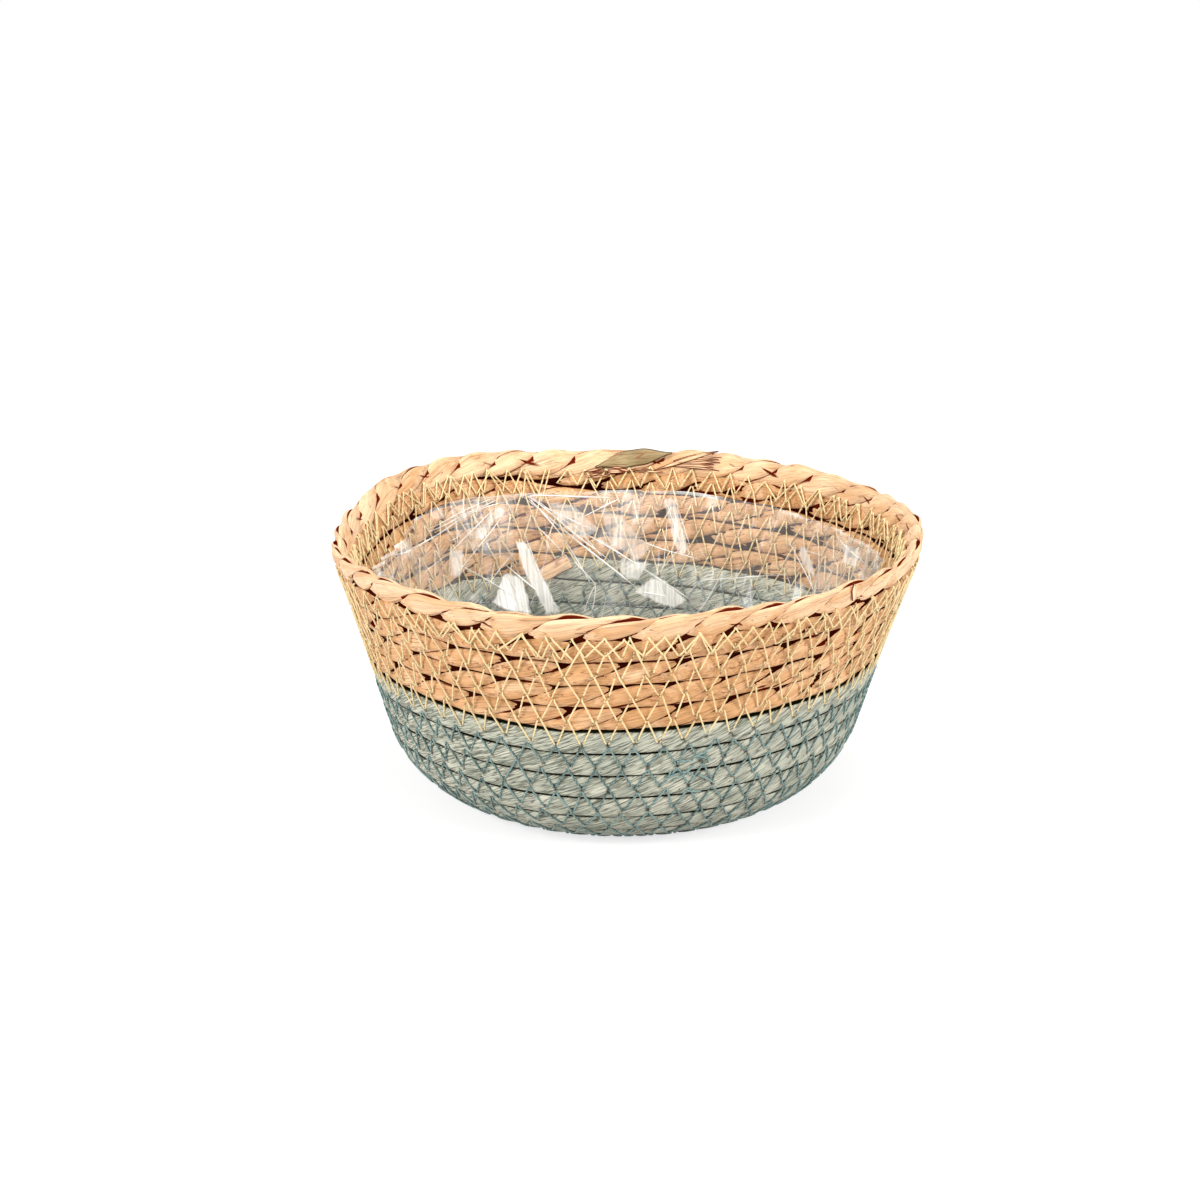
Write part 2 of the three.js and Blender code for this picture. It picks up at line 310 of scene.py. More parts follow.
def lay_coil(steps=240):
    """Where each turn of the coil starts along the wall and how wide it is, in equal steps of a turn. A
    turn starts where the one under it ends. The base is an even spiral; above it each turn is a little
    narrower or wider along its length, so that the last is level but for its climb at the back."""
    levelled = PITCH / (ALL_TURNS - HEEL_TURN)
    share = np.arange(steps) / steps
    edge = PITCH * (share - 0.5)
    turns, edges, widths = [], [], []
    for turn in range(ALL_TURNS + 1):
        place = turn + share
        width = np.where(place < ROPE_TURNS, ROPE_WIDTH, PLAIT_WIDTH)
        away = place - np.round(place)
        off_level = away - (smooth_step((away + CLIMB_SHARE / 2) / CLIMB_SHARE) - 0.5)
        width = np.where(place < HEEL_TURN, width, width - levelled * off_level)
        turns.append(place)
        edges.append(edge)
        widths.append(width)
        edge = edge + width + TURN_GAP
    turns, edges, widths = map(np.concatenate, (turns, edges, widths))
    before_climb = round(steps * (ALL_TURNS - CLIMB_SHARE))
    rim_edge = edges[before_climb] + widths[before_climb]
    climbing = turns > ALL_TURNS - CLIMB_SHARE
    widths = np.where(climbing, np.minimum(widths, rim_edge - edges), widths)
    last = np.argmax(climbing & (widths < LEAST_WIDTH))
    return turns[: last + 1], edges[: last + 1], widths[: last + 1], rim_edge


COIL_TURNS, COIL_EDGES, COIL_WIDTHS, RIM_EDGE = lay_coil()
COIL_MIDDLES = COIL_EDGES + COIL_WIDTHS / 2
COIL_STEPS = 2 * math.pi * wall_line(COIL_MIDDLES)[0][:-1] * np.diff(COIL_TURNS)
COIL_LENGTHS = np.concatenate([[0], np.cumsum(COIL_STEPS)])
COIL_END = COIL_TURNS[-1]
RIM_MIDDLE = RIM_EDGE + RIM_GAP + STRAND_REACH * STRAND_WIDTH + STRAND_WIDTH / 2


def middle_of(turn):
    return np.interp(turn, COIL_TURNS, COIL_MIDDLES)


def width_of(turn):
    return np.interp(turn, COIL_TURNS, COIL_WIDTHS)


def length_of(turn):
    return np.interp(turn, COIL_TURNS, COIL_LENGTHS)


def even_turns(first, last, step):
    """Turns from first to last, as a column, that are about a step apart along the coil."""
    start, end = length_of(first), length_of(last)
    places = np.linspace(start, end, int((end - start) / step))
    return np.interp(places, COIL_LENGTHS, COIL_TURNS)[:, None]


def angle_of(turn):
    """The coil starts and climbs at the back, and runs anticlockwise seen from above."""
    return SEAM_ANGLE + 2 * math.pi * turn


# Meshes


def mesh_piece(name, points, faces, values, material, nodes=()):
    """One object from its points, its faces and point values by name. The faces are three arrays: their
    corners in a row, a UV for each corner, and how many corners each face has. The piece stands for the
    given nodes."""
    corners, uvs, sizes = faces
    mesh = bpy.data.meshes.new(name)
    mesh.vertices.add(len(points))
    mesh.vertices.foreach_set("co", points.astype(np.float32).ravel())
    mesh.loops.add(len(corners))
    mesh.loops.foreach_set("vertex_index", corners.astype(np.int32))
    mesh.polygons.add(len(sizes))
    mesh.polygons.foreach_set("loop_start", (np.cumsum(sizes) - sizes).astype(np.int32))
    mesh.uv_layers.new(name="UVMap").data.foreach_set("uv", uvs.astype(np.float32).ravel())
    for layer, value in values.items():
        attribute = mesh.attributes.new(layer, "FLOAT", "POINT")
        attribute.data.foreach_set("value", value.astype(np.float32))
    mesh.update(calc_edges=True)
    mesh.validate()
    mesh.shade_smooth()
    mesh.materials.append(material)
    piece = bpy.data.objects.new(name, mesh)
    bpy.context.scene.collection.objects.link(piece)
    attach(piece, "root")
    if nodes:
        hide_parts(*nodes)
    return piece


def volume_sign(points, quads):
    """Six times the signed volume that the quads close, from the sum of their corners' triple products."""
    a, b, c, d = (points[quads[:, k]] for k in range(4))
    return np.sum(np.cross(a, b) * c) + np.sum(np.cross(a, c) * d)


def part_faces(part):
    """The faces of one part, pointing outwards, as mesh_piece takes them: a quad between each two rows and
    columns, and a flat cap at both ends unless the rows close into a ring."""
    grid, uv, ring = part["grid"], part["uv"], part.get("ring", False)
    rows, columns = grid.shape[:2]
    index = np.arange(rows * columns).reshape(rows, columns)
    index = np.concatenate([index, index[:, :1]], axis=1)
    if ring:
        index = np.concatenate([index, index[:1]])
    quads = np.stack([index[:-1, :-1], index[:-1, 1:], index[1:, 1:], index[1:, :-1]], axis=-1).reshape(-1, 4)
    quad_uvs = np.stack([uv[:-1, :-1], uv[:-1, 1:], uv[1:, 1:], uv[1:, :-1]], axis=-2).reshape(-1, 4, 2)
    caps = [] if ring else [index[0, :-1][::-1], index[-1, :-1]]
    cap_uvs = [] if ring else [uv[0, :-1][::-1], uv[-1, :-1]]
    if volume_sign(grid.reshape(-1, 3), quads) < 0:
        quads, quad_uvs = quads[:, ::-1], quad_uvs[:, ::-1]
        caps, cap_uvs = [cap[::-1] for cap in caps], [cap_uv[::-1] for cap_uv in cap_uvs]
    corners = np.concatenate([quads.ravel(), *caps])
    uvs = np.concatenate([quad_uvs.reshape(-1, 2), *cap_uvs])
    return corners, uvs, np.concatenate([np.full(len(quads), 4), np.full(len(caps), columns)])


def add_piece(name, parts, material, nodes=()):
    """One object from a list of parts. Each part is a grid of points (rows, columns, 3) whose columns
    close on themselves, a grid of UVs with one column more, and for a fibre the point values deep and
    cover, which carry its painted shade."""
    base, faces = 0, []
    for part in parts:
        corners, uvs, sizes = part_faces(part)
        faces.append((corners + base, uvs, sizes))
        base += part["grid"][..., 0].size
    faces = [np.concatenate(arrays) for arrays in zip(*faces)]
    values = {
        layer: np.concatenate([
            np.broadcast_to(part[layer], part["grid"].shape[:2]).ravel() for part in parts
        ])
        for layer in ("deep", "cover") if layer in parts[0]
    }
    points = np.concatenate([part["grid"].reshape(-1, 3) for part in parts])
    return mesh_piece(name, points, faces, values, material, nodes)


def tubes_parts(paths, radii, sides=5, **values):
    """Parts for add_piece from an array of tubes: paths is (tubes, steps, 3) and radii (tubes, steps). Each
    ring is square to the tube's direction, on two axes taken from it and from a fixed one. The UVs are in
    metres along and round each tube, and each tube starts a little further along the pattern."""
    ahead = np.gradient(paths, axis=1)
    ahead /= np.linalg.norm(ahead, axis=-1, keepdims=True)
    steep = np.abs(ahead[..., 2:3]) > 0.9
    one = np.cross(ahead, np.where(steep, [1.0, 0, 0], [0, 0, 1.0]))
    one /= np.linalg.norm(one, axis=-1, keepdims=True)
    two = np.cross(ahead, one)
    turn = 2 * math.pi * np.arange(sides) / sides
    ring = np.cos(turn)[:, None] * one[..., None, :] + np.sin(turn)[:, None] * two[..., None, :]
    grids = paths[..., None, :] + radii[..., None, None] * ring
    steps = np.linalg.norm(np.diff(paths, axis=1), axis=-1)
    along = np.concatenate([np.zeros((len(paths), 1)), np.cumsum(steps, axis=1)], axis=1)
    round_it = np.arange(sides + 1) / sides * 2 * math.pi * radii.max()
    parts = []
    for k, grid in enumerate(grids):
        uv = np.stack(np.broadcast_arrays(along[k][:, None] + 0.013 * k, round_it[None, :]), axis=-1)
        parts.append({"grid": grid, "uv": uv, **{name: value[k] for name, value in values.items()}})
    return parts


def closed_sheet(inner, outer, flat):
    """The points and faces of a thin closed sheet from two grids of the same size: both faces, joined
    round the edge by a strip. flat is the grid of its UVs."""
    rows, columns = inner.shape[:2]
    index = np.arange(rows * columns).reshape(rows, columns)
    quads = np.stack([index[:-1, :-1], index[1:, :-1], index[1:, 1:], index[:-1, 1:]], axis=-1).reshape(-1, 4)
    back = quads[:, ::-1] + rows * columns
    edge = np.concatenate([index[:, 0], index[-1, 1:], index[-2::-1, -1], index[0, -2:0:-1]])
    after = np.roll(edge, -1)
    strip = np.stack([after, edge, edge + rows * columns, after + rows * columns], axis=-1)
    quads = np.concatenate([quads, back, strip])
    points = np.concatenate([inner.reshape(-1, 3), outer.reshape(-1, 3)])
    if volume_sign(points, quads) < 0:
        quads = quads[:, ::-1]
    uvs = np.concatenate([flat.reshape(-1, 2)] * 2)[quads.ravel()]
    return points, (quads.ravel(), uvs, np.full(len(quads), 4))


# Materials


def add_node(tree, kind, inputs=None, stops=(), **settings):
    """Adds a node with its settings, its inputs and, on a colour ramp, its stops. An input that is a node
    is linked from its first output, one that is a socket is linked, and anything else is a value."""
    node = tree.nodes.new(kind)
    for key, value in settings.items():
        setattr(node, key, value)
    for key, value in (inputs or {}).items():
        socket = node.inputs[key]
        if isinstance(value, bpy.types.Node):
            tree.links.new(value.outputs[0], socket)
        elif isinstance(value, bpy.types.NodeSocket):
            tree.links.new(value, socket)
        else:
            socket.default_value = (*value, 1) if socket.type == "RGBA" and len(value) == 3 else value
    for number, (place, colour) in enumerate(stops):
        elements = node.color_ramp.elements
        element = elements[number] if number < len(elements) else elements.new(1.0)
        element.position = place
        element.color = (colour, colour, colour, 1) if isinstance(colour, float) else (*colour, 1)
    return node


def new_material(name):
    material = bpy.data.materials.new(name)
    material.use_nodes = True
    material.node_tree.nodes.clear()
    return material, material.node_tree


def stretched_noise(tree, vector, along, across, detail=1.0, warp=0.0, offset=0.0):
    """Noise with patches of a real size, along by across, on UVs in metres."""
    scaled = add_node(tree, "ShaderNodeMapping", {
        "Vector": vector, "Scale": (1 / along, 1 / across, 1), "Location": (offset, offset, offset),
    })
    return add_node(tree, "ShaderNodeTexNoise", {
        "Vector": scaled, "Scale": 1.0, "Detail": detail, "Roughness": 0.55, "Distortion": warp,
    })


def crease_lines(tree, turned, crease, number):
    """How dark each place is by one kind of crease, as painted shade in the fold: thin lines where a
    stretched noise passes its middle, kept only in patches. reach is how far the noise is off its middle
    where a line ends."""
    wave = stretched_noise(tree, turned, crease["length"], crease["width"], warp=0.1, offset=7.0 + number)
    middle, reach, share = 0.5, crease["reach"], crease["share"]
    line = add_node(tree, "ShaderNodeValToRGB", {"Fac": wave}, stops=(
        (middle - reach, 0.0), (middle, 1.0), (middle + reach, 0.0),
    ))
    patch = stretched_noise(tree, turned, 0.012, 0.006, offset=11.0 + number)
    patch = add_node(tree, "ShaderNodeValToRGB", {"Fac": patch}, stops=((share, 0.0), (share + 0.10, 1.0)))
    kept = add_node(tree, "ShaderNodeMath", {0: line, 1: patch}, operation="MULTIPLY")
    return add_node(tree, "ShaderNodeMath", {0: kept, 1: crease["strength"]}, operation="MULTIPLY")


def dark_specks(tree, uv, strength):
    """Dark specks about 0.6 mm across, in some of the cells of a pattern of 4.2 mm."""
    cells = add_node(tree, "ShaderNodeTexVoronoi", {"Vector": uv, "Scale": 1 / 0.0042})
    dot = add_node(tree, "ShaderNodeMapRange", {
        "Value": cells.outputs["Distance"], "From Min": 0.05, "From Max": 0.11, "To Min": strength,
        "To Max": 0.0,
    })
    chosen = add_node(tree, "ShaderNodeMath", {0: cells.outputs["Color"], 1: 0.62}, operation="GREATER_THAN")
    return add_node(tree, "ShaderNodeMath", {0: dot, 1: chosen}, operation="MULTIPLY")


def painted_contact_shadow(tree, uv, line):
    """A painted contact shadow: the dark line where another strand covers this one. The attribute cover is
    the distance to it in metres. The line fades from its core to a width that changes slowly between its
    least and its most."""
    cover = add_node(tree, "ShaderNodeAttribute", attribute_name="cover").outputs["Fac"]
    wide = add_node(tree, "ShaderNodeMapRange", {
        "Value": stretched_noise(tree, uv, 0.016, 0.010, offset=19.0), "From Min": 0.35, "From Max": 0.65,
        "To Min": line["least"], "To Max": line["most"],
    })
    return add_node(tree, "ShaderNodeMapRange", {
        "Value": cover, "From Min": line["core"], "From Max": wide, "To Min": 1.0, "To Max": 0.0,
    }, interpolation_type="SMOOTHSTEP")


def fibre_material(name, colours, creases, line, painted_shade_colour, roughness, sheen, grain, slant=0.0, specks=0.0):
    """Dried leaf or fibre: fine lines that run with the grain and slow changes of colour, with painted shade
    in thin dark creases, in a painted contact shadow where another strand covers this one, and in darker
    places deep between the turns. The UV map is in metres, along the piece and then round it, and the
    attribute deep is how dark the painted shade in a hollow is. colours are the dark, the middle and the
    light one, slant is the grain's angle, and grain the width of its lines."""
    material, tree = new_material(name)
    uv = add_node(tree, "ShaderNodeUVMap", uv_map="UVMap")
    turned = add_node(tree, "ShaderNodeMapping", {"Vector": uv, "Rotation": (0, 0, slant)})
    slow = stretched_noise(tree, turned, 0.030, 0.006, detail=2.0)
    stops = tuple(zip((0.32, 0.50, 0.66), colours))
    colour = add_node(tree, "ShaderNodeValToRGB", {"Fac": slow}, stops=stops)
    fine = stretched_noise(tree, turned, 14 * grain, grain, detail=3.0, warp=0.4, offset=3.0)
    stops = ((0.30, 0.74), (0.50, 1.0), (0.75, 1.09))
    veins = add_node(tree, "ShaderNodeValToRGB", {"Fac": fine}, stops=stops)
    colour = add_node(
        tree, "ShaderNodeMix", {0: 1.0, 6: colour, 7: veins}, data_type="RGBA", blend_type="MULTIPLY",
    ).outputs[2]

    # Painted shade: dark crease lines, a contact shadow where another strand covers this one, and shade in
    # the hollows from the attribute deep
    folds = [crease_lines(tree, turned, crease, number) for number, crease in enumerate(creases)]
    outline = painted_contact_shadow(tree, uv, line)
    deep = add_node(tree, "ShaderNodeAttribute", attribute_name="deep").outputs["Fac"]
    stops = ((0.30, 0.0), (0.70, 0.50), (1.0, 1.0))
    hollow = add_node(tree, "ShaderNodeValToRGB", {"Fac": deep}, stops=stops)
    layers = [(fold, crease["colour"]) for fold, crease in zip(folds, creases)]
    if specks:
        layers.append((dark_specks(tree, uv, specks), painted_shade_colour))
    layers += [(outline, line["colour"]), (hollow, painted_shade_colour)]
    for share, dark in layers:
        colour = add_node(tree, "ShaderNodeMix", {0: share, 6: colour, 7: dark}, data_type="RGBA").outputs[2]

    pressed = folds[0]
    for fold in folds[1:]:
        pressed = add_node(tree, "ShaderNodeMath", {0: pressed, 1: fold}, operation="ADD")
    height = add_node(tree, "ShaderNodeMath", {0: pressed, 1: -0.9, 2: fine}, operation="MULTIPLY_ADD")
    bump = add_node(tree, "ShaderNodeBump", {"Height": height, "Strength": 0.7, "Distance": 0.0004})
    rough = add_node(tree, "ShaderNodeMapRange", {
        "Value": fine, "From Min": 0.3, "From Max": 0.7, "To Min": roughness + 0.08,
        "To Max": roughness - 0.08,
    })
    # No shine and no sheen in the dark lines and hollows, which little light reaches
    darkest = add_node(tree, "ShaderNodeMath", {0: outline, 1: hollow}, operation="MAXIMUM")
    bare = add_node(tree, "ShaderNodeMath", {0: 1.0, 1: darkest}, operation="SUBTRACT", use_clamp=True)
    shader = add_node(tree, "ShaderNodeBsdfPrincipled", {
        "Base Color": colour, "Roughness": rough, "Normal": bump, "IOR": 1.45, "Sheen Roughness": 0.5,
        "Specular IOR Level": add_node(tree, "ShaderNodeMath", {0: bare, 1: 0.35}, operation="MULTIPLY"),
        "Sheen Weight": add_node(tree, "ShaderNodeMath", {0: bare, 1: sheen}, operation="MULTIPLY"),
    })
    add_node(tree, "ShaderNodeOutputMaterial", {"Surface": shader})
    return material


def rope_fibre(rope):
    """Dyed sedge leaf, twisted flat and pressed: matte, with short creases that slant across it, darkened as
    painted shade.
    """
    return fibre_material(
        "dyed_twisted_sedge_rope", (rope.dark, rope.colour, rope.light),
        [
            {"length": 0.0170, "width": 0.0013, "reach": 0.042, "share": 0.30, "strength": 1.0,
             "colour": rope.crease},
            {"length": 0.0130, "width": 0.0007, "reach": 0.048, "share": 0.30, "strength": 0.9,
             "colour": from_hex("585C4C")},
        ],
        # line is painted shade in the seams between the rows, and the shade colour paints shade in the needle
        # holes and also colours the dark specks
        line={"least": 0.00034, "most": 0.00080, "core": 0.00026, "colour": from_hex("10140A")},
        painted_shade_colour=from_hex("181D18"), roughness=0.78, sheen=0.08, grain=0.0005, slant=ROPE_SLANT,
        specks=0.9,
    )


def leaf_creases(straw, strength):
    """The folds of the leaf as painted shade: long thin dark lines, and finer hairlines between them."""
    return [
        {"length": 0.045, "width": 0.0018, "reach": 0.016, "share": 0.40, "strength": strength,
         "colour": straw.crease},
        {"length": 0.026, "width": 0.0008, "reach": 0.030, "share": 0.40, "strength": 0.6 * strength,
         "colour": from_hex("9C5F2C")},
    ]


def wall_leaf(straw):
    """Dried cattail leaf, folded and plaited: satin, with the leaf's veins along each strand."""
    return fibre_material(
        "dried_plaited_cattail_leaf", (straw.dark, straw.colour, straw.light), leaf_creases(straw, 0.8),
        # line is the painted contact shadow where a strand dives under another, and the shade colour paints
        # shade in the hollows, the needle holes and the cord between the strands
        line={"least": 0.00026, "most": 0.00080, "core": 0.00018, "colour": from_hex("521003")},
        painted_shade_colour=from_hex("2E0804"), roughness=0.55, sheen=0.05, grain=0.0004,
    )


def rim_leaf(straw):
    """The same leaf, paler and more tightly folded, so the lobes are smooth with a few fine folds."""
    name = "pale_plaited_cattail_leaf"
    return bpy.data.materials.get(name) or fibre_material(
        name, (from_hex("DDAA78"), straw.rim, from_hex("F5CFA6")), leaf_creases(straw, 0.6),
        # line is the painted contact shadow where a strand dives under another, and the shade colour paints
        # shade in the hollows and the cord between the strands
        line={"least": 0.00022, "most": 0.0007, "core": 0.00010, "colour": from_hex("641C0A")},
        painted_shade_colour=from_hex("3E1006"), roughness=0.5, sheen=0.05, grain=0.00045,
    )


def olive_leaf(straw):
    """The same leaf, dried in the shade, so it has kept some green."""
    return fibre_material(
        "olive_cattail_leaf", (from_hex("8A7650"), from_hex("A48F66"), from_hex("C0A981")),
        leaf_creases(straw, 0.8),
        # line is painted shade along the leaf's edges
        line={"least": 0.0001, "most": 0.0006, "core": 0.00006, "colour": from_hex("3E2A12")},
        painted_shade_colour=from_hex("2A1A0C"), roughness=0.55, sheen=0.05, grain=0.0004,
    )


def thread_material(name, light, dark):
    """Spun sewing thread: satin, a little shiny on its crests, with its plies as slanting bands, darker as
    painted shade between the plies and in random patches of darker tone. The real plies are finer and would
    not show."""
    material, tree = new_material(name)
    uv = add_node(tree, "ShaderNodeUVMap", uv_map="UVMap")
    # A wave repeats every 2 pi / 20 of its own units, so these two scales lay a ply every 1.8 mm
    slant, scale = 0.6, 1 / 0.0009
    turned = {"Vector": uv, "Rotation": (0, 0, slant), "Scale": (scale,) * 3}
    turned = add_node(tree, "ShaderNodeMapping", turned)
    wave = add_node(tree, "ShaderNodeTexWave", {"Vector": turned, "Scale": 0.16, "Distortion": 0.5})
    ply = wave.outputs["Fac"]
    position = add_node(tree, "ShaderNodeTexCoord").outputs["Object"]
    patch = add_node(tree, "ShaderNodeTexNoise", {"Vector": position, "Scale": 60.0, "Detail": 2.0})
    shade = add_node(tree, "ShaderNodeMath", {0: ply, 1: 0.35, 2: patch}, operation="MULTIPLY_ADD")
    # The dark colour is painted shade between the plies and the darker tone of random patches
    colour = add_node(tree, "ShaderNodeValToRGB", {"Fac": shade}, stops=((0.40, dark), (0.75, light)))
    bump = add_node(tree, "ShaderNodeBump", {"Height": ply, "Strength": 0.4, "Distance": 0.0002})
    shader = add_node(tree, "ShaderNodeBsdfPrincipled", {
        "Base Color": colour, "Roughness": 0.5, "Normal": bump, "IOR": 1.5, "Sheen Weight": 0.1,
    })
    add_node(tree, "ShaderNodeOutputMaterial", {"Surface": shader})
    return material


def film_haze_and_highlight(tree, uv, warped):
    """How white the film is at each place, as haze and painted highlight: the largest of a little milkiness
    that differs by facet, partly painted reflection, the straight folds between facets, white partly as the
    film's own whitening and partly as painted highlight, the painted glares with streaks in them, and a
    painted highlight at the cut edge. Facets are Voronoi cells 40 mm across, and streaks are about 1.6 by
    11 mm. The attributes glare, across and edge are distances in metres, and white is how white a glare is."""
    marked = {
        name: add_node(tree, "ShaderNodeAttribute", attribute_name=name).outputs["Fac"]
        for name in ("glare", "white", "across", "edge")
    }
    facet = {"Vector": warped, "Scale": 1 / 0.040}
    border = add_node(tree, "ShaderNodeTexVoronoi", facet, feature="DISTANCE_TO_EDGE")
    tone = add_node(tree, "ShaderNodeTexVoronoi", facet).outputs["Color"]
    patch = add_node(tree, "ShaderNodeTexNoise", {"Vector": uv, "Scale": 30.0, "Detail": 1.0})
    ragged = add_node(tree, "ShaderNodeTexNoise", {"Vector": uv, "Scale": 230.0, "Detail": 2.0})
    place = add_node(tree, "ShaderNodeCombineXYZ", {0: marked["across"], 1: marked["glare"]})
    place = add_node(tree, "ShaderNodeMapping", {"Vector": place, "Scale": (620, 90, 1)})
    streaks = add_node(tree, "ShaderNodeTexNoise", {"Vector": place, "Scale": 1.0, "Detail": 3.0})
    rim = {0: ragged, 1: 0.003, 2: marked["glare"]}
    rim = add_node(tree, "ShaderNodeMath", rim, operation="MULTIPLY_ADD")
    # Each share comes from a value: the value at its two ends, then the share there
    shares = {}
    for name, value, low, high, at_low, at_high in (
        ("fold_line", border, 0.0, 0.010, 1.0, 0.0),
        ("fold_patch", patch, 0.50, 0.64, 0.0, 0.50),
        ("milky_and_facet_glare", tone, 0.35, 0.95, 0.08, 0.26),
        ("inside_glare", rim, 0.0006, 0.0018, 1.0, 0.0),
        ("streak", streaks, 0.32, 0.62, 0.55, 1.0),
        ("near_edge", marked["edge"], 0.0011, 0.0016, 0.50, 0.0),
        ("edge_patch", patch, 0.45, 0.60, 0.08, 0.95),
    ):
        shares[name] = add_node(tree, "ShaderNodeMapRange", {
            "Value": value, "From Min": low, "From Max": high, "To Min": at_low, "To Max": at_high,
        })
    # Painted highlights: the glares, the fold lines, which are partly the film's own whitening, and the cut
    # edge; the milkiness that differs by facet is partly painted reflection
    products = [shares["milky_and_facet_glare"]]
    for one, two in (
        (marked["white"], shares["streak"]),
        (shares["fold_line"], shares["fold_patch"]),
        (shares["near_edge"], shares["edge_patch"]),
    ):
        products.append(add_node(tree, "ShaderNodeMath", {0: one, 1: two}, operation="MULTIPLY"))
    milky_and_facet_glare, white, fold, cut_edge_highlight = products
    glare = add_node(tree, "ShaderNodeMath", {0: shares["inside_glare"], 1: white}, operation="MULTIPLY")
    haze_and_highlight = milky_and_facet_glare
    for layer in (glare, fold, cut_edge_highlight):
        haze_and_highlight = add_node(tree, "ShaderNodeMath", {0: haze_and_highlight, 1: layer}, operation="MAXIMUM")
    return haze_and_highlight


def film_material():
    """Clear polypropylene florist's film. It lets light through and has a little milkiness, and painted
    highlights turn it white in the facets that would mirror a lamp, along its sharp folds, which are also
    whitened, and at its cut edge. Only the face towards the eye is hazy or shines, so that the sheet's two
    faces count once."""
    material, tree = new_material("clear_polypropylene_film")
    uv = add_node(tree, "ShaderNodeUVMap", uv_map="UVMap")
    bend = add_node(tree, "ShaderNodeTexNoise", {"Vector": uv, "Scale": 22.0, "Detail": 1.0}).outputs[1]
    bent = (0.0025, 0.0025, 0.0025)
    warped = add_node(tree, "ShaderNodeVectorMath", {0: bend, 1: bent, 2: uv}, operation="MULTIPLY_ADD")
    haze_and_highlight = film_haze_and_highlight(tree, uv, warped)
    fine = add_node(tree, "ShaderNodeTexNoise", {"Vector": warped, "Scale": 120.0, "Detail": 2.0})
    bump = add_node(tree, "ShaderNodeBump", {"Height": fine, "Strength": 0.08, "Distance": 0.0004})
    gloss = add_node(tree, "ShaderNodeBsdfGlossy", {"Color": (1, 1, 1), "Roughness": 0.3, "Normal": bump})
    clear = add_node(tree, "ShaderNodeBsdfTransparent", {"Color": (0.985, 0.99, 0.99)})
    facing = add_node(tree, "ShaderNodeLayerWeight", {"Blend": 0.5, "Normal": bump}).outputs["Facing"]
    steep = add_node(tree, "ShaderNodeMath", {0: facing, 1: 4.0}, operation="POWER")
    mirror = add_node(tree, "ShaderNodeMath", {0: steep, 1: 0.80, 2: 0.03}, operation="MULTIPLY_ADD")
    back = add_node(tree, "ShaderNodeNewGeometry").outputs["Backfacing"]
    front = add_node(tree, "ShaderNodeMath", {0: 1.0, 1: back}, operation="SUBTRACT")
    white = add_node(tree, "ShaderNodeBsdfPrincipled", {
        "Base Color": FILM_HAZE_AND_HIGHLIGHT_WHITE, "Roughness": 0.25, "IOR": 1.5, "Normal": bump,
    })
    # The white shader paints the milkiness and the highlights, and the glossy one reflects for real
    surface = clear
    for share, shader in ((mirror, gloss), (haze_and_highlight, white)):
        shown = add_node(tree, "ShaderNodeMath", {0: share, 1: front}, operation="MULTIPLY")
        surface = add_node(tree, "ShaderNodeMixShader", {0: shown, 1: surface, 2: shader})
    add_node(tree, "ShaderNodeOutputMaterial", {"Surface": surface})
    return material


def fold_and_highlight_material():
    """The same film where it is folded double: whitish and half clear, with a soft shine. The white is partly
    the double film and partly painted highlight along the fold.
    """
    material, tree = new_material("folded_film_and_painted_highlight")
    clear = add_node(tree, "ShaderNodeBsdfTransparent", {"Color": (1, 1, 1)})
    position = add_node(tree, "ShaderNodeTexCoord").outputs["Object"]
    patch = add_node(tree, "ShaderNodeTexNoise", {"Vector": position, "Scale": 90.0, "Detail": 2.0})
    share = add_node(tree, "ShaderNodeMapRange", {
        "Value": patch, "From Min": 0.35, "From Max": 0.62, "To Min": 0.25, "To Max": 0.85,
    })
    white = {"Base Color": FILM_HAZE_AND_HIGHLIGHT_WHITE, "Roughness": 0.3, "IOR": 1.5}
    white = add_node(tree, "ShaderNodeBsdfPrincipled", white)
    whole = add_node(tree, "ShaderNodeMixShader", {0: share, 1: clear, 2: white})
    add_node(tree, "ShaderNodeOutputMaterial", {"Surface": whole})
    return material


# Settings


def colour_property(name, description, text):
    return FloatVectorProperty(
        name=name, description=description, subtype="COLOR", size=3, min=0, max=1, default=from_hex(text),
    )


def length_property(name, description, default, least=0.0):
    return FloatProperty(
        name=name, description=description, default=default, min=least, unit="LENGTH", precision=5,
    )


class BasketRopeSettings(bpy.types.PropertyGroup):
    colour: colour_property("Rope colour", "Dyed fibre of the base and lower wall", "C2C2AF")
    light: colour_property("Light fibre", "Paler places of the rope", "CCCAB8")
    dark: colour_property("Dark fibre", "Darker places of the rope", "B4B7A6")
    crease: colour_property("Crease colour", "Thin creases across the rope", "5A5E50")


class BasketStrawSettings(bpy.types.PropertyGroup):
    colour: colour_property("Straw colour", "Dried leaf of the upper wall", "DFAA77")
    light: colour_property("Light straw", "Paler places of the leaf", "EBC094")
    dark: colour_property("Dark straw", "Browner places of the leaf", "D19C66")
    crease: colour_property("Crease colour", "Folds and edges of the leaf", "7E3A18")
    rim: colour_property("Rim straw", "Paler leaf of the rim plait", "EFC397")
    wave: length_property("Plait wave", "Length of one wave of a strand", 0.058, least=0.02)


class BasketThreadSettings(bpy.types.PropertyGroup):
    thickness: length_property("Thread thickness", "Thickness of the sewing thread", 0.00072)
    green: colour_property("Green thread", "Thread of the dyed rope", "78938F")
    straw: colour_property("Straw thread", "Thread of the straw plait", "EAD5A2")


class BasketFilmSettings(bpy.types.PropertyGroup):
    thickness: length_property("Film thickness", "Thickness drawn for the film", 0.00015)
    drop: length_property("Drop", "How far the film's edge lies below the rim plait", FILM_DROP)
    cells: IntProperty(name="Cells", description="Cells across the film's mesh", default=218, min=20)


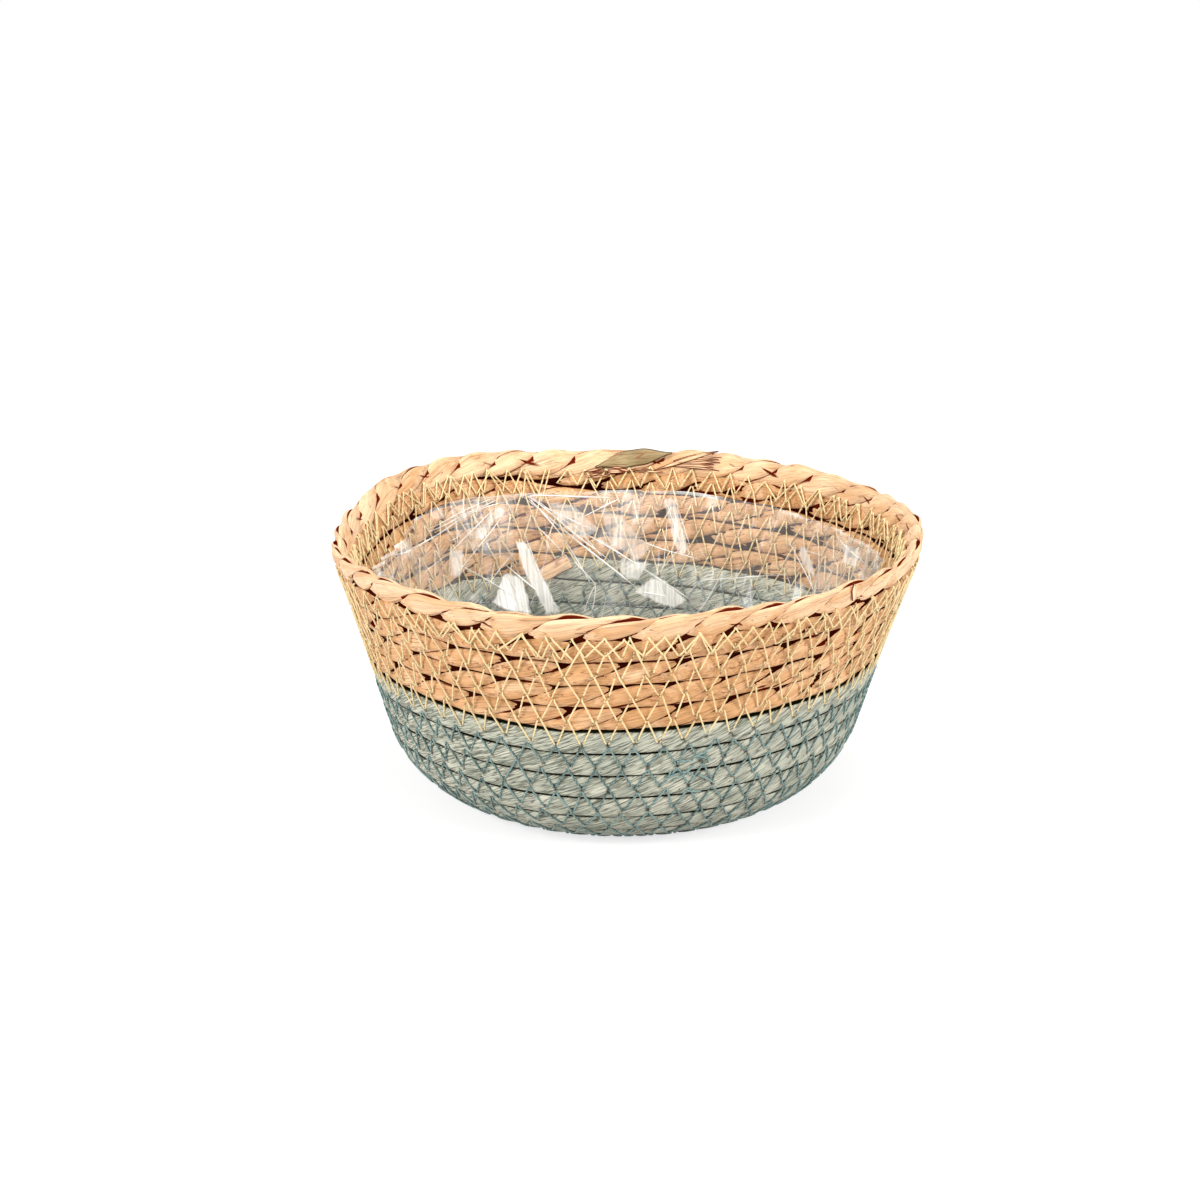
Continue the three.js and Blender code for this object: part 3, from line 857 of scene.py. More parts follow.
class BasketStudioSettings(bpy.types.PropertyGroup):
    distance: length_property("Camera distance", "From the camera to the middle of the basket", 1.0)
    elevation: FloatProperty(
        name="Elevation", description="Camera's angle above level", default=math.radians(19.7),
        subtype="ANGLE",
    )


# Needle holes and rope


def stitch_places(seam):
    """Turns at which the needle went in, at the upper and at the lower end of each zigzag. Each turn,
    counted from the front, has as many zigzags as fit its length and a half more, so at the front the
    lower holes of a seam are the upper holes of the seam below it. A slow wave and a small random shift
    draw the holes together and apart."""
    rng = np.random.default_rng(seam["seed"])
    front = (-math.pi / 2 - SEAM_ANGLE) / (2 * math.pi) % 1
    knots = front - 1 + np.arange(ALL_TURNS + 2)
    radius = np.maximum(wall_line(middle_of(knots[:-1] + 0.5))[0], 0.004)
    counts = np.round(2 * math.pi * radius / seam["stitch"]) + 0.5
    sewn = np.interp(COIL_TURNS, knots, np.concatenate([[0], np.cumsum(counts)]))
    sewn = sewn + 0.07 * ripple(angle_of(COIL_TURNS), 3, 11, seam["seed"] + 1)
    sewn = sewn + 0.06 * noise(COIL_TURNS * 3.1, 0.5, seam["seed"] + 2)
    start, end = np.interp([seam["first"], seam["last"]], COIL_TURNS, sewn)
    count = int(end - start)
    shift = 0.055
    upper = start + np.arange(count) + rng.normal(0, shift, count)
    lower = start + np.arange(count) + 0.5 + rng.normal(0, shift, count)
    return np.interp(upper, sewn, COIL_TURNS), np.interp(lower, sewn, COIL_TURNS)


def hole_distance(turn, across):
    """Distance from each place of a row to the nearest needle hole, on the middle of the row. The holes of
    a row are the upper ends of the zigzags below it and the lower ends of those above it."""
    lengths = length_of(turn)
    nearest = np.full(np.broadcast(lengths, across).shape, 1.0)
    for seam in (GREEN_SEAM, STRAW_SEAM):
        upper, lower = stitch_places(seam)
        for holes, height in ((upper, seam["upper"]), (lower - 1, seam["lower"])):
            places = np.sort(length_of(holes))
            after = np.clip(np.searchsorted(places, lengths), 1, len(places) - 1)
            gap = np.minimum(np.abs(lengths - places[after - 1]), np.abs(lengths - places[after]))
            nearest = np.minimum(nearest, np.hypot(gap, across - height))
    return nearest


def rope_section(width, columns=32):
    """The rope's section, a squared-up oval of the given width: how far across each point of it lies, how
    far out as a share of half the rope's thickness, its UV round the section, and its distance from the
    edges."""
    around = 2 * math.pi * np.arange(columns)[None, :] / columns
    closed = 2 * math.pi * np.arange(columns + 1)[None, :] / columns
    across = width / 2 * power(np.cos(around), ROPE_SQUARE)
    face = power(np.sin(around), ROPE_SQUARE)
    height = width / 2 * power(np.cos(closed), ROPE_SQUARE)
    uv_round = np.where(closed <= math.pi, width / 2 - height, 1.5 * width + height)
    edge = (1 - np.abs(power(np.cos(around), ROPE_SQUARE))) * width / 2
    return across, face, uv_round, edge


def rope_stretch(first, last, seed, step=0.0009):
    """A flat rope along the coil, whose section touches the turns beside it. Its surface adds twist ridges
    that slant across the rope, small lumps and the hollows that the stitches draw in."""
    turn = even_turns(first, last, step)
    run = length_of(turn)
    across, face, uv_round, edge = rope_section(width_of(turn) + ROPE_PRESS)
    slant = run * math.sin(ROPE_SLANT) - across * np.sign(face) * math.cos(ROPE_SLANT)
    ridges = 0.00015 * noise(slant / 0.0017, run / 0.020, seed)
    ridges = ridges + 0.00010 * noise(slant / 0.0042, run / 0.03, seed + 1)
    lumps = ROPE_LUMPS * noise(run / 0.008, across / 0.003 + 10, seed + 2)
    hole = hole_distance(turn, across)
    dimple = np.exp(-((hole / 0.0012) ** 2))
    out = face * (ROPE_THICKNESS / 2 - ROPE_ROOM + ridges + lumps - HOLE_DEPTH * dimple)
    middle = middle_of(turn) + 0.00012 * noise(run / 0.03, turn, 77)
    wider = 1 + 0.4 * ridges / 0.0028
    return {
        "grid": wall_point(angle_of(turn), middle + across * wider, out),
        "uv": np.stack(np.broadcast_arrays(run, uv_round), axis=-1),
        # Painted shade: deep darkens the needle holes, and cover gives a dark line along both edges, in the
        # seams between the rows
        "deep": 0.98 * np.exp(-((hole / 0.00095) ** 4)),
        "cover": edge + 0 * run,
    }


def rope_start(seed, rows=90):
    """The rope's flattened start, which fills the middle of the base. Its outer edge is the inner edge of
    the turn after it, a spiral from the middle, and its inner edge is the middle itself until it joins the
    first turn."""
    turn = np.linspace(FIRST_TURN - START_TURNS, FIRST_TURN, rows)[:, None]
    outer = PITCH * (turn + 0.5) - TURN_GAP
    inner = PITCH * (FIRST_TURN - 0.5) * smooth_step((turn - FIRST_TURN + START_JOIN) / START_JOIN)
    middle, run = (outer + inner) / 2, 2 * math.pi * PITCH * turn * np.abs(turn)
    across, face, uv_round, edge = rope_section(outer - inner + ROPE_PRESS)
    lumps = ROPE_LUMPS * noise(run / 0.008, across / 0.003 + 10, seed)
    out = face * (ROPE_THICKNESS / 2 - ROPE_ROOM + lumps)
    return {
        "grid": wall_point(angle_of(turn), np.maximum(middle + across, 0.0), out),
        "uv": np.stack(np.broadcast_arrays(run, uv_round), axis=-1),
        # cover gives a painted shade line along both edges, in the seams between the rows
        "deep": np.zeros(across.shape),
        "cover": edge + 0 * run,
    }


class BASKET_OT_rope(bpy.types.Operator):
    """Lays the dyed rope of the base, heel and lower wall"""

    bl_idname = "basket.rope"
    bl_label = "Rope"

    def execute(self, context):
        material = rope_fibre(context.scene.basket_rope)
        base = [rope_stretch(FIRST_TURN, HEEL_TURN, 101), rope_start(101)]
        add_piece("base_rope", base, material, ["base_coil"])
        add_piece("heel_rope", [rope_stretch(HEEL_TURN, HEEL_END, 102)], material, ["heel_coil"])
        add_piece("wall_rope", [rope_stretch(HEEL_END, ROPE_TURNS, 103)], material, ["wall_coil"])
        return {"FINISHED"}


# Plaits


def plait_route(angle, middle, turn=None, scale=1.0):
    """A plait's way along the wall: its angle and middle at each row, the wall's radius there and the
    length run so far. scale is the row's width against the plait's own. turn is only given where needles
    go through."""
    radius = wall_line(middle)[0]
    run = np.concatenate([[0], np.cumsum(np.diff(angle[:, 0]) * radius[:-1, 0])])[:, None]
    return {"angle": angle, "middle": middle, "turn": turn, "scale": scale, "radius": radius, "run": run}


def strand_line(route, phase, form, share, seed):
    """The middle line of one strand of a flat plait of three, and its half width and thickness. It swings
    across by a sine. It goes in and out by a sine twice as fast, as in a flat plait, plus a slower one that
    makes it cross the face from below to above. It is widest where it crosses and comes to a point where it
    dives under the next. share is the strand's own share of the width."""
    angle, run = route["angle"], route["run"]
    across = form["swing"] * np.sin(phase) * (1 + 0.06 * ripple(angle, 3, 17, seed + 8))
    uneven = 1 + form["uneven"] * noise(run / 0.060, 0.5, form["seed"])
    depth = form["lift"] * np.sin(2 * phase) + form["twist"] * uneven * np.cos(phase + 0.3)
    swell = (1 - form["point"] * np.abs(np.sin(phase)) ** 2.5) * (1 + 0.06 * ripple(angle, 5, 23, seed + 3))
    half = form["width"] * share / 2 * swell
    thick = form["thickness"] * (0.4 + 0.6 * share) / 2 * (0.45 + 0.55 * swell)
    tilt = np.arctan(np.gradient(across[:, 0], run[:, 0])[:, None])
    return {"across": across, "depth": depth, "half": half, "thick": thick, "swell": swell, "tilt": tilt}


def leaf_grooves(angle, around, seed):
    """How deep each place of a strand lies in the folds of its leaves: a bell curve about each fold, which
    wanders round the section and fades in and out along the strand."""
    wander = 0.35 * ripple(angle, 9, 31, seed)
    groove = np.zeros_like(angle * around)
    for number, place in enumerate(LEAF_FOLDS):
        drift = place + wander + 0.22 * ripple(angle, 11, 43, seed + 20 + number)
        away = np.angle(np.exp(1j * (around - drift)))
        fold = np.clip(0.55 + 0.45 * ripple(angle, 17, 61, seed + 30 + number), 0, 1.2)
        groove += np.exp(-((away / LEAF_FOLD_WIDTH) ** 2)) * fold
    return groove


def strand_cover(line, others, run, place, up, face):
    """The distance from each point of a strand to the edge of the nearest strand that lies over it, where
    place is how far along the plait the point is and up how far across it."""
    cover = np.full(up.shape, FAR)
    for other in others:
        line_at = {key: np.interp(place, run[:, 0], other[key][:, 0]) for key in ("across", "half", "depth")}
        above = smooth_step((line_at["depth"] - line["depth"]) * face / 0.0003 + 0.5)
        beyond = np.abs(up - line_at["across"]) - line_at["half"]
        cover = np.minimum(cover, beyond + (1 - above) * FAR)
    return cover


def plait_strand(route, form, line, others, seed, columns):
    """One strand of a plait. Its section is a puffed lens, rolled and tilted with the strand's line. The
    folds of the leaves are grooves along it, and the needle holes draw small hollows into it."""
    angle, run, scale = route["angle"], route["run"], route["scale"]
    around = 2 * math.pi * np.arange(columns)[None, :] / columns
    roll = form["roll"] + 0.10 * ripple(angle, 7, 29, seed + 4)
    groove = leaf_grooves(angle, around, seed)
    flat = line["half"] * power(np.cos(around), 0.9)
    thick = line["thick"] * (1 - 0.12 * groove) * power(np.sin(around), form["square"])
    side = flat * np.cos(roll) - thick * np.sin(roll)
    rise = flat * np.sin(roll) + thick * np.cos(roll)
    back = side * np.sin(line["tilt"])
    up = line["across"] + side * np.cos(line["tilt"])
    out = line["depth"] + rise

    face = np.sign(np.sin(around)) + 0 * run
    # cover carries the painted contact shadow at the edges of the strands over this one, and at the plait's
    # edges
    cover = strand_cover(line, others, run, run - back, up, face)
    cover = np.minimum(cover, form["edge"] - np.abs(up)) * np.where(face < 0, form["inner_line"], 1.0)

    flare = form["flare"]
    tipped = (up * math.cos(flare) - out * math.sin(flare)) * scale
    raised = up * math.sin(flare) + out * math.cos(flare)
    hole = np.full(up.shape, 1.0) if route["turn"] is None else hole_distance(route["turn"], tipped)
    raised = raised - HOLE_DEPTH * np.exp(-((hole / 0.0013) ** 2)) * np.sign(raised)
    grid = wall_point(angle - back / route["radius"], route["middle"] + tipped, raised * np.sqrt(scale))

    along = run / np.cos(line["tilt"]) + seed * 0.37
    uv_round = np.arange(columns + 1)[None, :] / columns * (2.4 * form["width"]) + seed * 0.11
    # Painted shade in deep: where the strand narrows to dive under the next, in the folds of its leaves, in
    # the needle holes, near the plait's edges and over its inner face
    tucked = smooth_step((0.75 - line["swell"]) * 1.6)
    deep = 0.45 * tucked + 0.10 * groove + 0.85 * np.exp(-((hole / 0.0005) ** 2))
    deep = deep + form["seam"] * smooth_step((np.abs(up) - 0.0036) / 0.0012) + form["painted_inner_shade"] * (face < 0)
    return {
        "grid": grid,
        "uv": np.stack(np.broadcast_arrays(along, uv_round), axis=-1),
        "deep": np.clip(deep, 0, 1),
        "cover": np.maximum(cover, 0),
    }


def plait_strands(route, phase, form, seed, columns):
    """The three strands of a plait, a third of a wave apart."""
    seeds = [seed + 50 * k for k in range(3)]
    lines = [
        strand_line(route, phase + 2 * math.pi * k / 3, form, form["shares"][k], seeds[k]) for k in range(3)
    ]
    return [
        plait_strand(route, form, lines[k], lines[:k] + lines[k + 1:], seeds[k], columns)
        for k in range(3)
    ]


def plait_shade_core(angle, middle, width, thickness=0.0022, columns=10):
    """The leaves in the middle of a plait, which only show between its strands: a flat oval cord, painted
    wholly in the shade colour as the painted shade seen there.
    """
    around = 2 * math.pi * np.arange(columns)[None, :] / columns
    across = width / 2 * power(np.cos(around), 0.7)
    grid = wall_point(angle, middle + across, thickness / 2 * np.sin(around) + 0 * angle)
    run = wall_line(middle)[0] * (angle - angle[0])
    uv = np.stack(np.broadcast_arrays(run, np.arange(columns + 1)[None, :] / columns * 0.02), axis=-1)
    return {"grid": grid, "uv": uv, "deep": np.ones(grid.shape[:2]), "cover": np.zeros(grid.shape[:2])}


def closed_ring(part):
    """A part whose rows go once round the basket and join."""
    return {**part, "ring": True, "uv": np.concatenate([part["uv"], part["uv"][:1]])}


class BASKET_OT_straw(bpy.types.Operator):
    """Plaits the straw of the upper wall, three strands on the coil's route"""

    bl_idname = "basket.straw"
    bl_label = "Straw plait"

    def execute(self, context):
        straw = context.scene.basket_straw
        material = wall_leaf(straw)
        turn = even_turns(ROPE_TURNS, COIL_END, 0.0011)
        angle, middle, run = angle_of(turn), middle_of(turn), length_of(turn)
        scale = width_of(turn) / PLAIT_WIDTH
        phase = 2 * math.pi * (run / straw.wave + 0.16 * noise(run / 0.09, 0.5, 5))
        route = plait_route(angle, middle, turn, scale)
        strands = plait_strands(route, phase, STRAW_PLAIT, seed=200, columns=38)
        for number, part in enumerate(strands, 1):
            add_piece(f"straw_strand_{number}", [part], material, ["straw_plait"])
        # A dark cord painted wholly in the shade colour, as the shade seen between the strands
        core = plait_shade_core(angle[::3], middle[::3], STRAW_PLAIT["core"] * scale[::3])
        add_piece("straw_shade_core", [core], material, ["straw_plait"])
        return {"FINISHED"}


class BASKET_OT_rim(bpy.types.Operator):
    """Plaits the rim, three thick strands in a closed ring"""

    bl_idname = "basket.rim"
    bl_label = "Rim plait"

    def execute(self, context):
        material = rim_leaf(context.scene.basket_straw)
        rows = 1300
        angle = (2 * math.pi * np.arange(rows) / rows)[:, None]
        middle = RIM_MIDDLE - RIM_SINK + 0 * angle
        phase = STRAND_WAVES * angle + 0.22 * ripple(angle, 3, 9, 61)
        strands = plait_strands(plait_route(angle, middle), phase, RIM_PLAIT, seed=300, columns=44)
        for number, part in enumerate(strands, 1):
            node = f"rim_strand_{number}"
            add_piece(f"rim_plait_{number}", [closed_ring(part)], material, [node])
        # A dark cord painted wholly in the shade colour, as the shade seen between the strands
        core = plait_shade_core(angle[::3], middle[::3] - RIM_CORE_SINK, RIM_PLAIT["core"])
        add_piece("rim_shade_core", [closed_ring(core)], material, ["rim_strand_1"])
        return {"FINISHED"}


# Stitches


def stitch_legs(turn_a, along_a, turn_b, along_b, side, lift, radius, dive=0.0009):
    """Straight legs of thread from one needle hole to the next, lying on the crests of the rows, each end
    turning down into its hole by a bell curve. lift is how far the thread's middle is from the wall's."""
    share = np.array([0, 0.03, 0.09, 0.22, 0.5, 0.78, 0.91, 0.97, 1.0])[None, :]
    down = dive * np.exp(-((np.minimum(share, 1 - share) / 0.03) ** 2))
    turn = turn_a[:, None] * (1 - share) + turn_b[:, None] * share
    along = along_a[:, None] * (1 - share) + along_b[:, None] * share
    paths = wall_point(angle_of(turn), along, side * (lift - down))
    paths[..., 2] = np.maximum(paths[..., 2], radius)
    return paths, np.full(turn.shape, radius)


def zigzag(seam, side, lift, thickness, gap):
    """The two legs of every zigzag along the seam under a turn, from the middle of that turn to the middle
    of the turn below, with small random shifts of each end. gap is between the two legs at a hole."""
    rng = np.random.default_rng(seam["seed"] + 7)
    upper, lower = stitch_places(seam)
    high = middle_of(upper) + seam["upper"] + rng.normal(0, STITCH_SHIFT, len(upper))
    low = middle_of(lower - 1) + seam["lower"] + rng.normal(0, STITCH_SHIFT, len(lower))
    apart = gap / 2 / (2 * math.pi * wall_line(high)[0])
    down = stitch_legs(upper + apart, high, lower - apart, low, side, lift, thickness / 2)
    up = stitch_legs(
        lower[:-1] + apart[:-1], low[:-1], upper[1:] - apart[:-1], high[1:], side, lift, thickness / 2,
    )
    return [np.concatenate(pair) for pair in zip(down, up)]


def thread_tangle(thickness, count=11, steps=9):
    """A small tangle of the green thread on the front: short lengths that bend by a random slow turn."""
    rng = np.random.default_rng(43)
    share = np.linspace(0, 1, steps)
    start_angle = np.radians(rng.uniform(-81, -72, count))
    start_along = rng.uniform(0.097, 0.112, count)
    heading = rng.uniform(-0.4, 1.2, count)[:, None] + rng.uniform(-1.6, 1.6, count)[:, None] * share
    step = rng.uniform(0.0005, 0.0010, count)[:, None]
    along = start_along[:, None] + np.cumsum(step * np.sin(heading), axis=1)
    turned = np.cumsum(step * np.cos(heading), axis=1) / wall_line(start_along)[0][:, None]
    bulge = 0.0007 * np.sin(math.pi * share)[None, :] * rng.uniform(0.2, 1, count)[:, None]
    paths = wall_point(start_angle[:, None] + turned, along, ROPE_THICKNESS / 2 + 0.0003 + bulge)
    return paths, np.full((count, steps), thickness / 2)


def rim_stitches(seed, stitch, sparse, side, thickness):
    """Zigzags that tie the rim to the top row, from the rim's lower edge to a little below the middle of
    that row. They are steeper and less even than the rest, and a sparse pass leaves some out."""
    rng = np.random.default_rng(seed)
    count = int(2 * math.pi * wall_line(RIM_EDGE)[0] / stitch)
    upper = ALL_TURNS + (np.arange(count) + rng.normal(0, 0.12, count)) / count
    lower = upper + (0.5 + rng.normal(0, 0.11, count)) / count
    past = 0.0018
    high = RIM_EDGE + past + rng.normal(0, 0.0004, count)
    low = middle_of(np.minimum(lower - 1, ALL_TURNS)) - past + rng.normal(0, 0.0006, count)
    kept = noise(np.arange(count) / 7.0, 0.5, seed) > -0.15 if sparse else np.full(count, True)
    both = kept[:-1] & kept[1:]
    lift, radius = 0.0029, 0.45 * thickness
    down = stitch_legs(upper[kept], high[kept], lower[kept], low[kept], side, lift, radius)
    up = stitch_legs(lower[:-1][both], low[:-1][both], upper[1:][both], high[1:][both], side, lift, radius)
    return [np.concatenate(pair) for pair in zip(down, up)]


class BASKET_OT_stitches(bpy.types.Operator):
    """Sews the turns together with zigzags of green and of straw-coloured thread, outside and inside"""

    bl_idname = "basket.stitches"
    bl_label = "Stitches"

    def execute(self, context):
        thread = context.scene.basket_thread
        # The second colour of each thread is painted shade between its plies and the darker tone of its
        # patches
        green = thread_material("green_spun_thread", thread.green, from_hex("33504E"))
        straw = thread_material("straw_spun_thread", thread.straw, from_hex("D2B47C"))
        for side, name in ((1, "outer"), (-1, "inner")):
            sewn = [zigzag(GREEN_SEAM, side, THREAD_REACH, thread.thickness, gap=0.00030)]
            if name == "outer":
                sewn.append(thread_tangle(thread.thickness))
            self.add_thread(f"green_stitches_{name}", sewn, green, "rope")
            sewn = [
                zigzag(STRAW_SEAM, side, THREAD_REACH - THREAD_SINK, 0.9 * thread.thickness, gap=0.00070),
                rim_stitches(41, 0.0084, False, side, thread.thickness),
                rim_stitches(42, 0.0118, True, side, thread.thickness),
            ]
            self.add_thread(f"straw_stitches_{name}", sewn, straw, "straw")
        return {"FINISHED"}

    @staticmethod
    def add_thread(name, sewn, material, slot):
        paths, radii = (np.concatenate(arrays) for arrays in zip(*sewn))
        add_piece(name, tubes_parts(paths, radii), material)


# Loose ends


def leaf_strip(first, last, out, half, thick, tips=(0.15, 0.15), bow=0.0, steps=15, columns=8, seed=0):
    """A flat strip of leaf on the wall between two places, each an angle in degrees and a distance along
    the wall. out is its distance from the wall's middle at both ends. Its half width is full in the middle
    and the given shares of it at its tips, and it bows along the wall by bow."""
    share = np.linspace(0, 1, steps)[:, None]
    angle = np.radians(first[0] + (last[0] - first[0]) * share)
    along = first[1] + (last[1] - first[1]) * share + bow * np.sin(math.pi * share)
    radius = wall_line(along)[0]
    ahead = np.stack([np.gradient(angle[:, 0]) * radius[:, 0], np.gradient(along[:, 0])])
    ahead /= np.linalg.norm(ahead, axis=0)
    start, end = (tip + (1 - tip) * smooth_step(way / 0.4) for tip, way in zip(tips, (share, 1 - share)))
    narrow = start * end
    around = 2 * math.pi * np.arange(columns)[None, :] / columns
    side = half * narrow * np.cos(around)
    rise = thick / 2 * (0.4 + 0.6 * narrow) * power(np.sin(around), 0.7)
    rise = rise + 0.12 * half * noise(share * 3 + seed, side / (0.5 * half), seed)
    middle_out = out[0] + (out[1] - out[0]) * share
    length = math.hypot(math.radians(last[0] - first[0]) * radius[0, 0], last[1] - first[1])
    uv_round = np.arange(columns + 1) / columns * 2.4 * half
    return {
        "grid": wall_point(
            angle - ahead[1][:, None] * side / radius, along + ahead[0][:, None] * side, middle_out + rise,
        ),
        "uv": np.stack(np.broadcast_arrays(length * share + 0.37 * seed, uv_round), axis=-1),
        "deep": 0 * side,
        # cover gives a painted shade line along the strip's edges
        "cover": half * narrow - np.abs(side),
    }


def frayed_end():
    """The frayed end of the rim plait: one long strip, eight short ones that spread like a fan from its
    side, and fourteen wisps along the rim at random, all inside the wall. One more tip stands up on the
    outside."""
    rng = np.random.default_rng(91)
    strips = [leaf_strip((83.8, 0.1609), (68.2, 0.1701), (-0.0032, -0.0036), 0.0009, 0.0006, seed=4)]
    for number in range(8):
        start = (78.5, 0.1632 + 0.0003 * number)
        end = (rng.uniform(67, 69.5), 0.1625 + 0.0011 * number)
        out = (-0.0027, rng.uniform(-0.0042, -0.0032))
        strips.append(leaf_strip(start, end, out, 0.00055, 0.0004, tips=(0.6, 0.3), seed=5 + number))
    for number in range(14):
        angle, along = rng.uniform(80, 97), rng.uniform(0.1588, 0.1622)
        end = (angle + rng.uniform(2.5, 4.5), along + rng.uniform(-0.0012, 0.0012))
        half = rng.uniform(0.0003, 0.0006)
        strips.append(leaf_strip((angle, along), end, (-0.0034, -0.0034), half, 0.0004, seed=20 + number))
    start, end, out = (-44.2, 0.1650), (-45.2, 0.1716), (0.0030, 0.0026)
    return [*strips, leaf_strip(start, end, out, 0.0013, 0.0010, tips=(0.8, 0.2), seed=40)]


def loose_fibres(steps=9):
    """Single fibres that stand off the rim and the rows, each on an arc that leaves the surface and bends
    over. Each tuft gives how many, the middle angle, its spread, the middle distance along and its
    spread."""
    rng = np.random.default_rng(92)
    tufts = (
        (16, 109, 4, 0.1675, 0.0012), (3, 187, 1, 0.1650, 0.001), (3, -9, 2, 0.1150, 0.002),
        (30, 0, 180, 0.1660, 0.002),
    )
    count = sum(tuft[0] for tuft in tufts)
    angle = [rng.normal(middle, spread / 2, number) for number, middle, spread, _, _ in tufts]
    along = [rng.normal(middle, spread / 2, number) for number, _, _, middle, spread in tufts]
    angle, along = np.radians(np.concatenate(angle))[:, None], np.concatenate(along)[:, None]
    on_rim = along > 0.15
    share = np.linspace(0, 1, steps)[None, :]
    length = rng.uniform(0.0025, 0.0060, count)[:, None]
    lean = rng.normal(0, 1.1, count)[:, None]
    out = np.where(on_rim, 0.001, 0.0028) + length * 0.45 * share * rng.uniform(0.3, 1, count)[:, None]
    rise = length * (share - 0.35 * share ** 2) * np.cos(lean) * np.where(on_rim, 1.0, 0.2)
    swing = length * share * np.sin(lean) / wall_line(along)[0]
    paths = wall_point(angle + swing, along + rise, out)
    return paths, np.full(paths.shape[:2], 0.00013) * (1.1 - 0.7 * share)


class BASKET_OT_loose_ends(bpy.types.Operator):
    """Adds the plaits' loose ends: the straw's start, an olive leaf, a frayed end and single fibres"""

    bl_idname = "basket.loose_ends"
    bl_label = "Loose ends"

    def execute(self, context):
        straw = context.scene.basket_straw
        pale = rim_leaf(straw)
        start = leaf_strip(
            (103.6, 0.1256), (112.8, 0.1186), (-0.0030, -0.0043), 0.0030, 0.0013, tips=(1, 0.75),
            steps=21, columns=14,
        )
        add_piece("straw_start", [start], pale)
        lobe = leaf_strip(
            (96.0, 0.1628), (79.0, 0.1686), (-0.0024, -0.0022), 0.0034, 0.0024, bow=0.0006, steps=31,
            columns=16, seed=3,
        )
        add_piece("rim_olive_leaf", [lobe], olive_leaf(straw))
        add_piece("rim_frayed_end", frayed_end(), pale)
        paths, radii = loose_fibres()
        flat = {"deep": np.zeros((len(paths), 1, 1)), "cover": np.full((len(paths), 1, 1), FAR)}
        add_piece("loose_fibres", tubes_parts(paths, radii, sides=4, **flat), pale)
        return {"FINISHED"}


# Film


def main_folds(angle, along):
    """How far the film stands in from the wall by its main folds: a short cut across the heel, and pleats
    as wide ridges that deepen towards the edge. Each pleat is a little off its even place and has its own
    depth."""
    bend = np.clip((along - BASE_RADIUS) / HEEL_LENGTH, 0, 1)
    number = np.arange(-1, PLEATS + 2)
    valleys = 2 * math.pi * (number + PLEAT_SWAY * np.sin(2.1 * (number % PLEATS))) / PLEATS
    place = np.interp(angle % (2 * math.pi), valleys, number)
    size = PLEAT_DEPTH * (0.75 + 0.25 * np.cos(2.4 * (np.floor(place) % PLEATS)))
    deepening = smooth_step((along - PLEAT_START) / (RIM_EDGE - FILM_DROP - PLEAT_START))
    return HEEL_CUT * np.sin(math.pi * bend) ** 2 + deepening * size * (1 - triangle(place))


def crumple(flat, along, angle):
    """The film's smaller folds: flat facets between straight creases, as the sum of triangle waves in ten
    directions on the flat film, low on the base and high on the wall, and narrow pleats near the edge."""
    rng = np.random.default_rng(72)
    x, y = flat[..., 0], flat[..., 1]
    bend = 0.004 * noise(x / 0.03, y / 0.03, 73)
    total = np.zeros_like(x)
    for _ in range(10):
        turn = rng.uniform(0, math.pi)
        span = rng.uniform(0.012, 0.040)
        size = 0.040 * span * rng.uniform(0.5, 1.3)
        total += size * triangle((x * math.cos(turn) + y * math.sin(turn) + bend) / span + rng.uniform())
    wall = smooth_step((along - BASE_RADIUS) / 0.045)
    pleats = 47 * angle / (2 * math.pi) + 0.8 * ripple(angle, 2, 6, 75) + 0.5 * noise(along / 0.03, 0.5, 74)
    return (0.15 + 0.55 * wall) * total + 0.0030 * smooth_step((along - 0.085) / 0.06) * triangle(pleats)


def film_height(flat, along, angle):
    """How far the film stands in from the middle of the wall: it clears the rope, then come its folds."""
    return ROPE_THICKNESS / 2 + FILM_CLEARANCE + main_folds(angle, along) + crumple(flat, along, angle)


def all_glares():
    """How white each glare is, and its corners in metres on the flat film: the marked ones, and more at
    random round the front, where the film faces away from the camera. Those have four corners about their
    own middle and direction."""
    rng = np.random.default_rng(81)
    glares = [(white, 0.001 * np.array(corners, float)) for white, corners in GLARES]
    count = 15
    for turn in np.linspace(3.3, 6.1, count) + rng.uniform(-0.1, 0.1, count):
        middle = rng.uniform(0.082, 0.135) * np.array([math.cos(turn), math.sin(turn)])
        aim = turn + rng.uniform(-0.9, 0.9)
        ahead, beside = np.array([math.cos(aim), math.sin(aim)]), np.array([-math.sin(aim), math.cos(aim)])
        half, wide = rng.uniform(0.006, 0.013), rng.uniform(0.0025, 0.006)
        shape = ((1, 0.3), (0.2, 1), (-1, 0.5), (-0.4, -1))
        corners = np.array([middle + half * ahead * x + wide * beside * y for x, y in shape])
        glares.append((rng.uniform(0.4, 0.75), corners))
    return glares


def glare_fields(flat):
    """For each place of the film: the distance to the nearest glare, below 0 inside it, how white that
    glare is, and how far the place is to the side of the glare's middle. A glare is convex, so the
    distance to it is the largest of the distances to its sides."""
    nearest, shade, across = np.full(flat.shape[:2], 1.0), np.zeros(flat.shape[:2]), np.zeros(flat.shape[:2])
    for white, corners in all_glares():
        away = corners - corners.mean(axis=0)
        corners = corners[np.argsort(np.arctan2(away[:, 1], away[:, 0]))]
        sides = np.roll(corners, -1, axis=0) - corners
        normals = np.stack([sides[:, 1], -sides[:, 0]], axis=-1)
        normals = normals / np.linalg.norm(sides, axis=1, keepdims=True)
        distance = np.max([(flat - corner) @ normal for corner, normal in zip(corners, normals)], axis=0)
        middle = corners.mean(axis=0)
        short_axis = np.array([-middle[1], middle[0]]) / np.linalg.norm(middle)
        closer = distance < nearest
        nearest = np.where(closer, distance, nearest)
        shade = np.where(closer, white, shade)
        across = np.where(closer, (flat - middle) @ short_axis, across)
    return nearest, shade, across


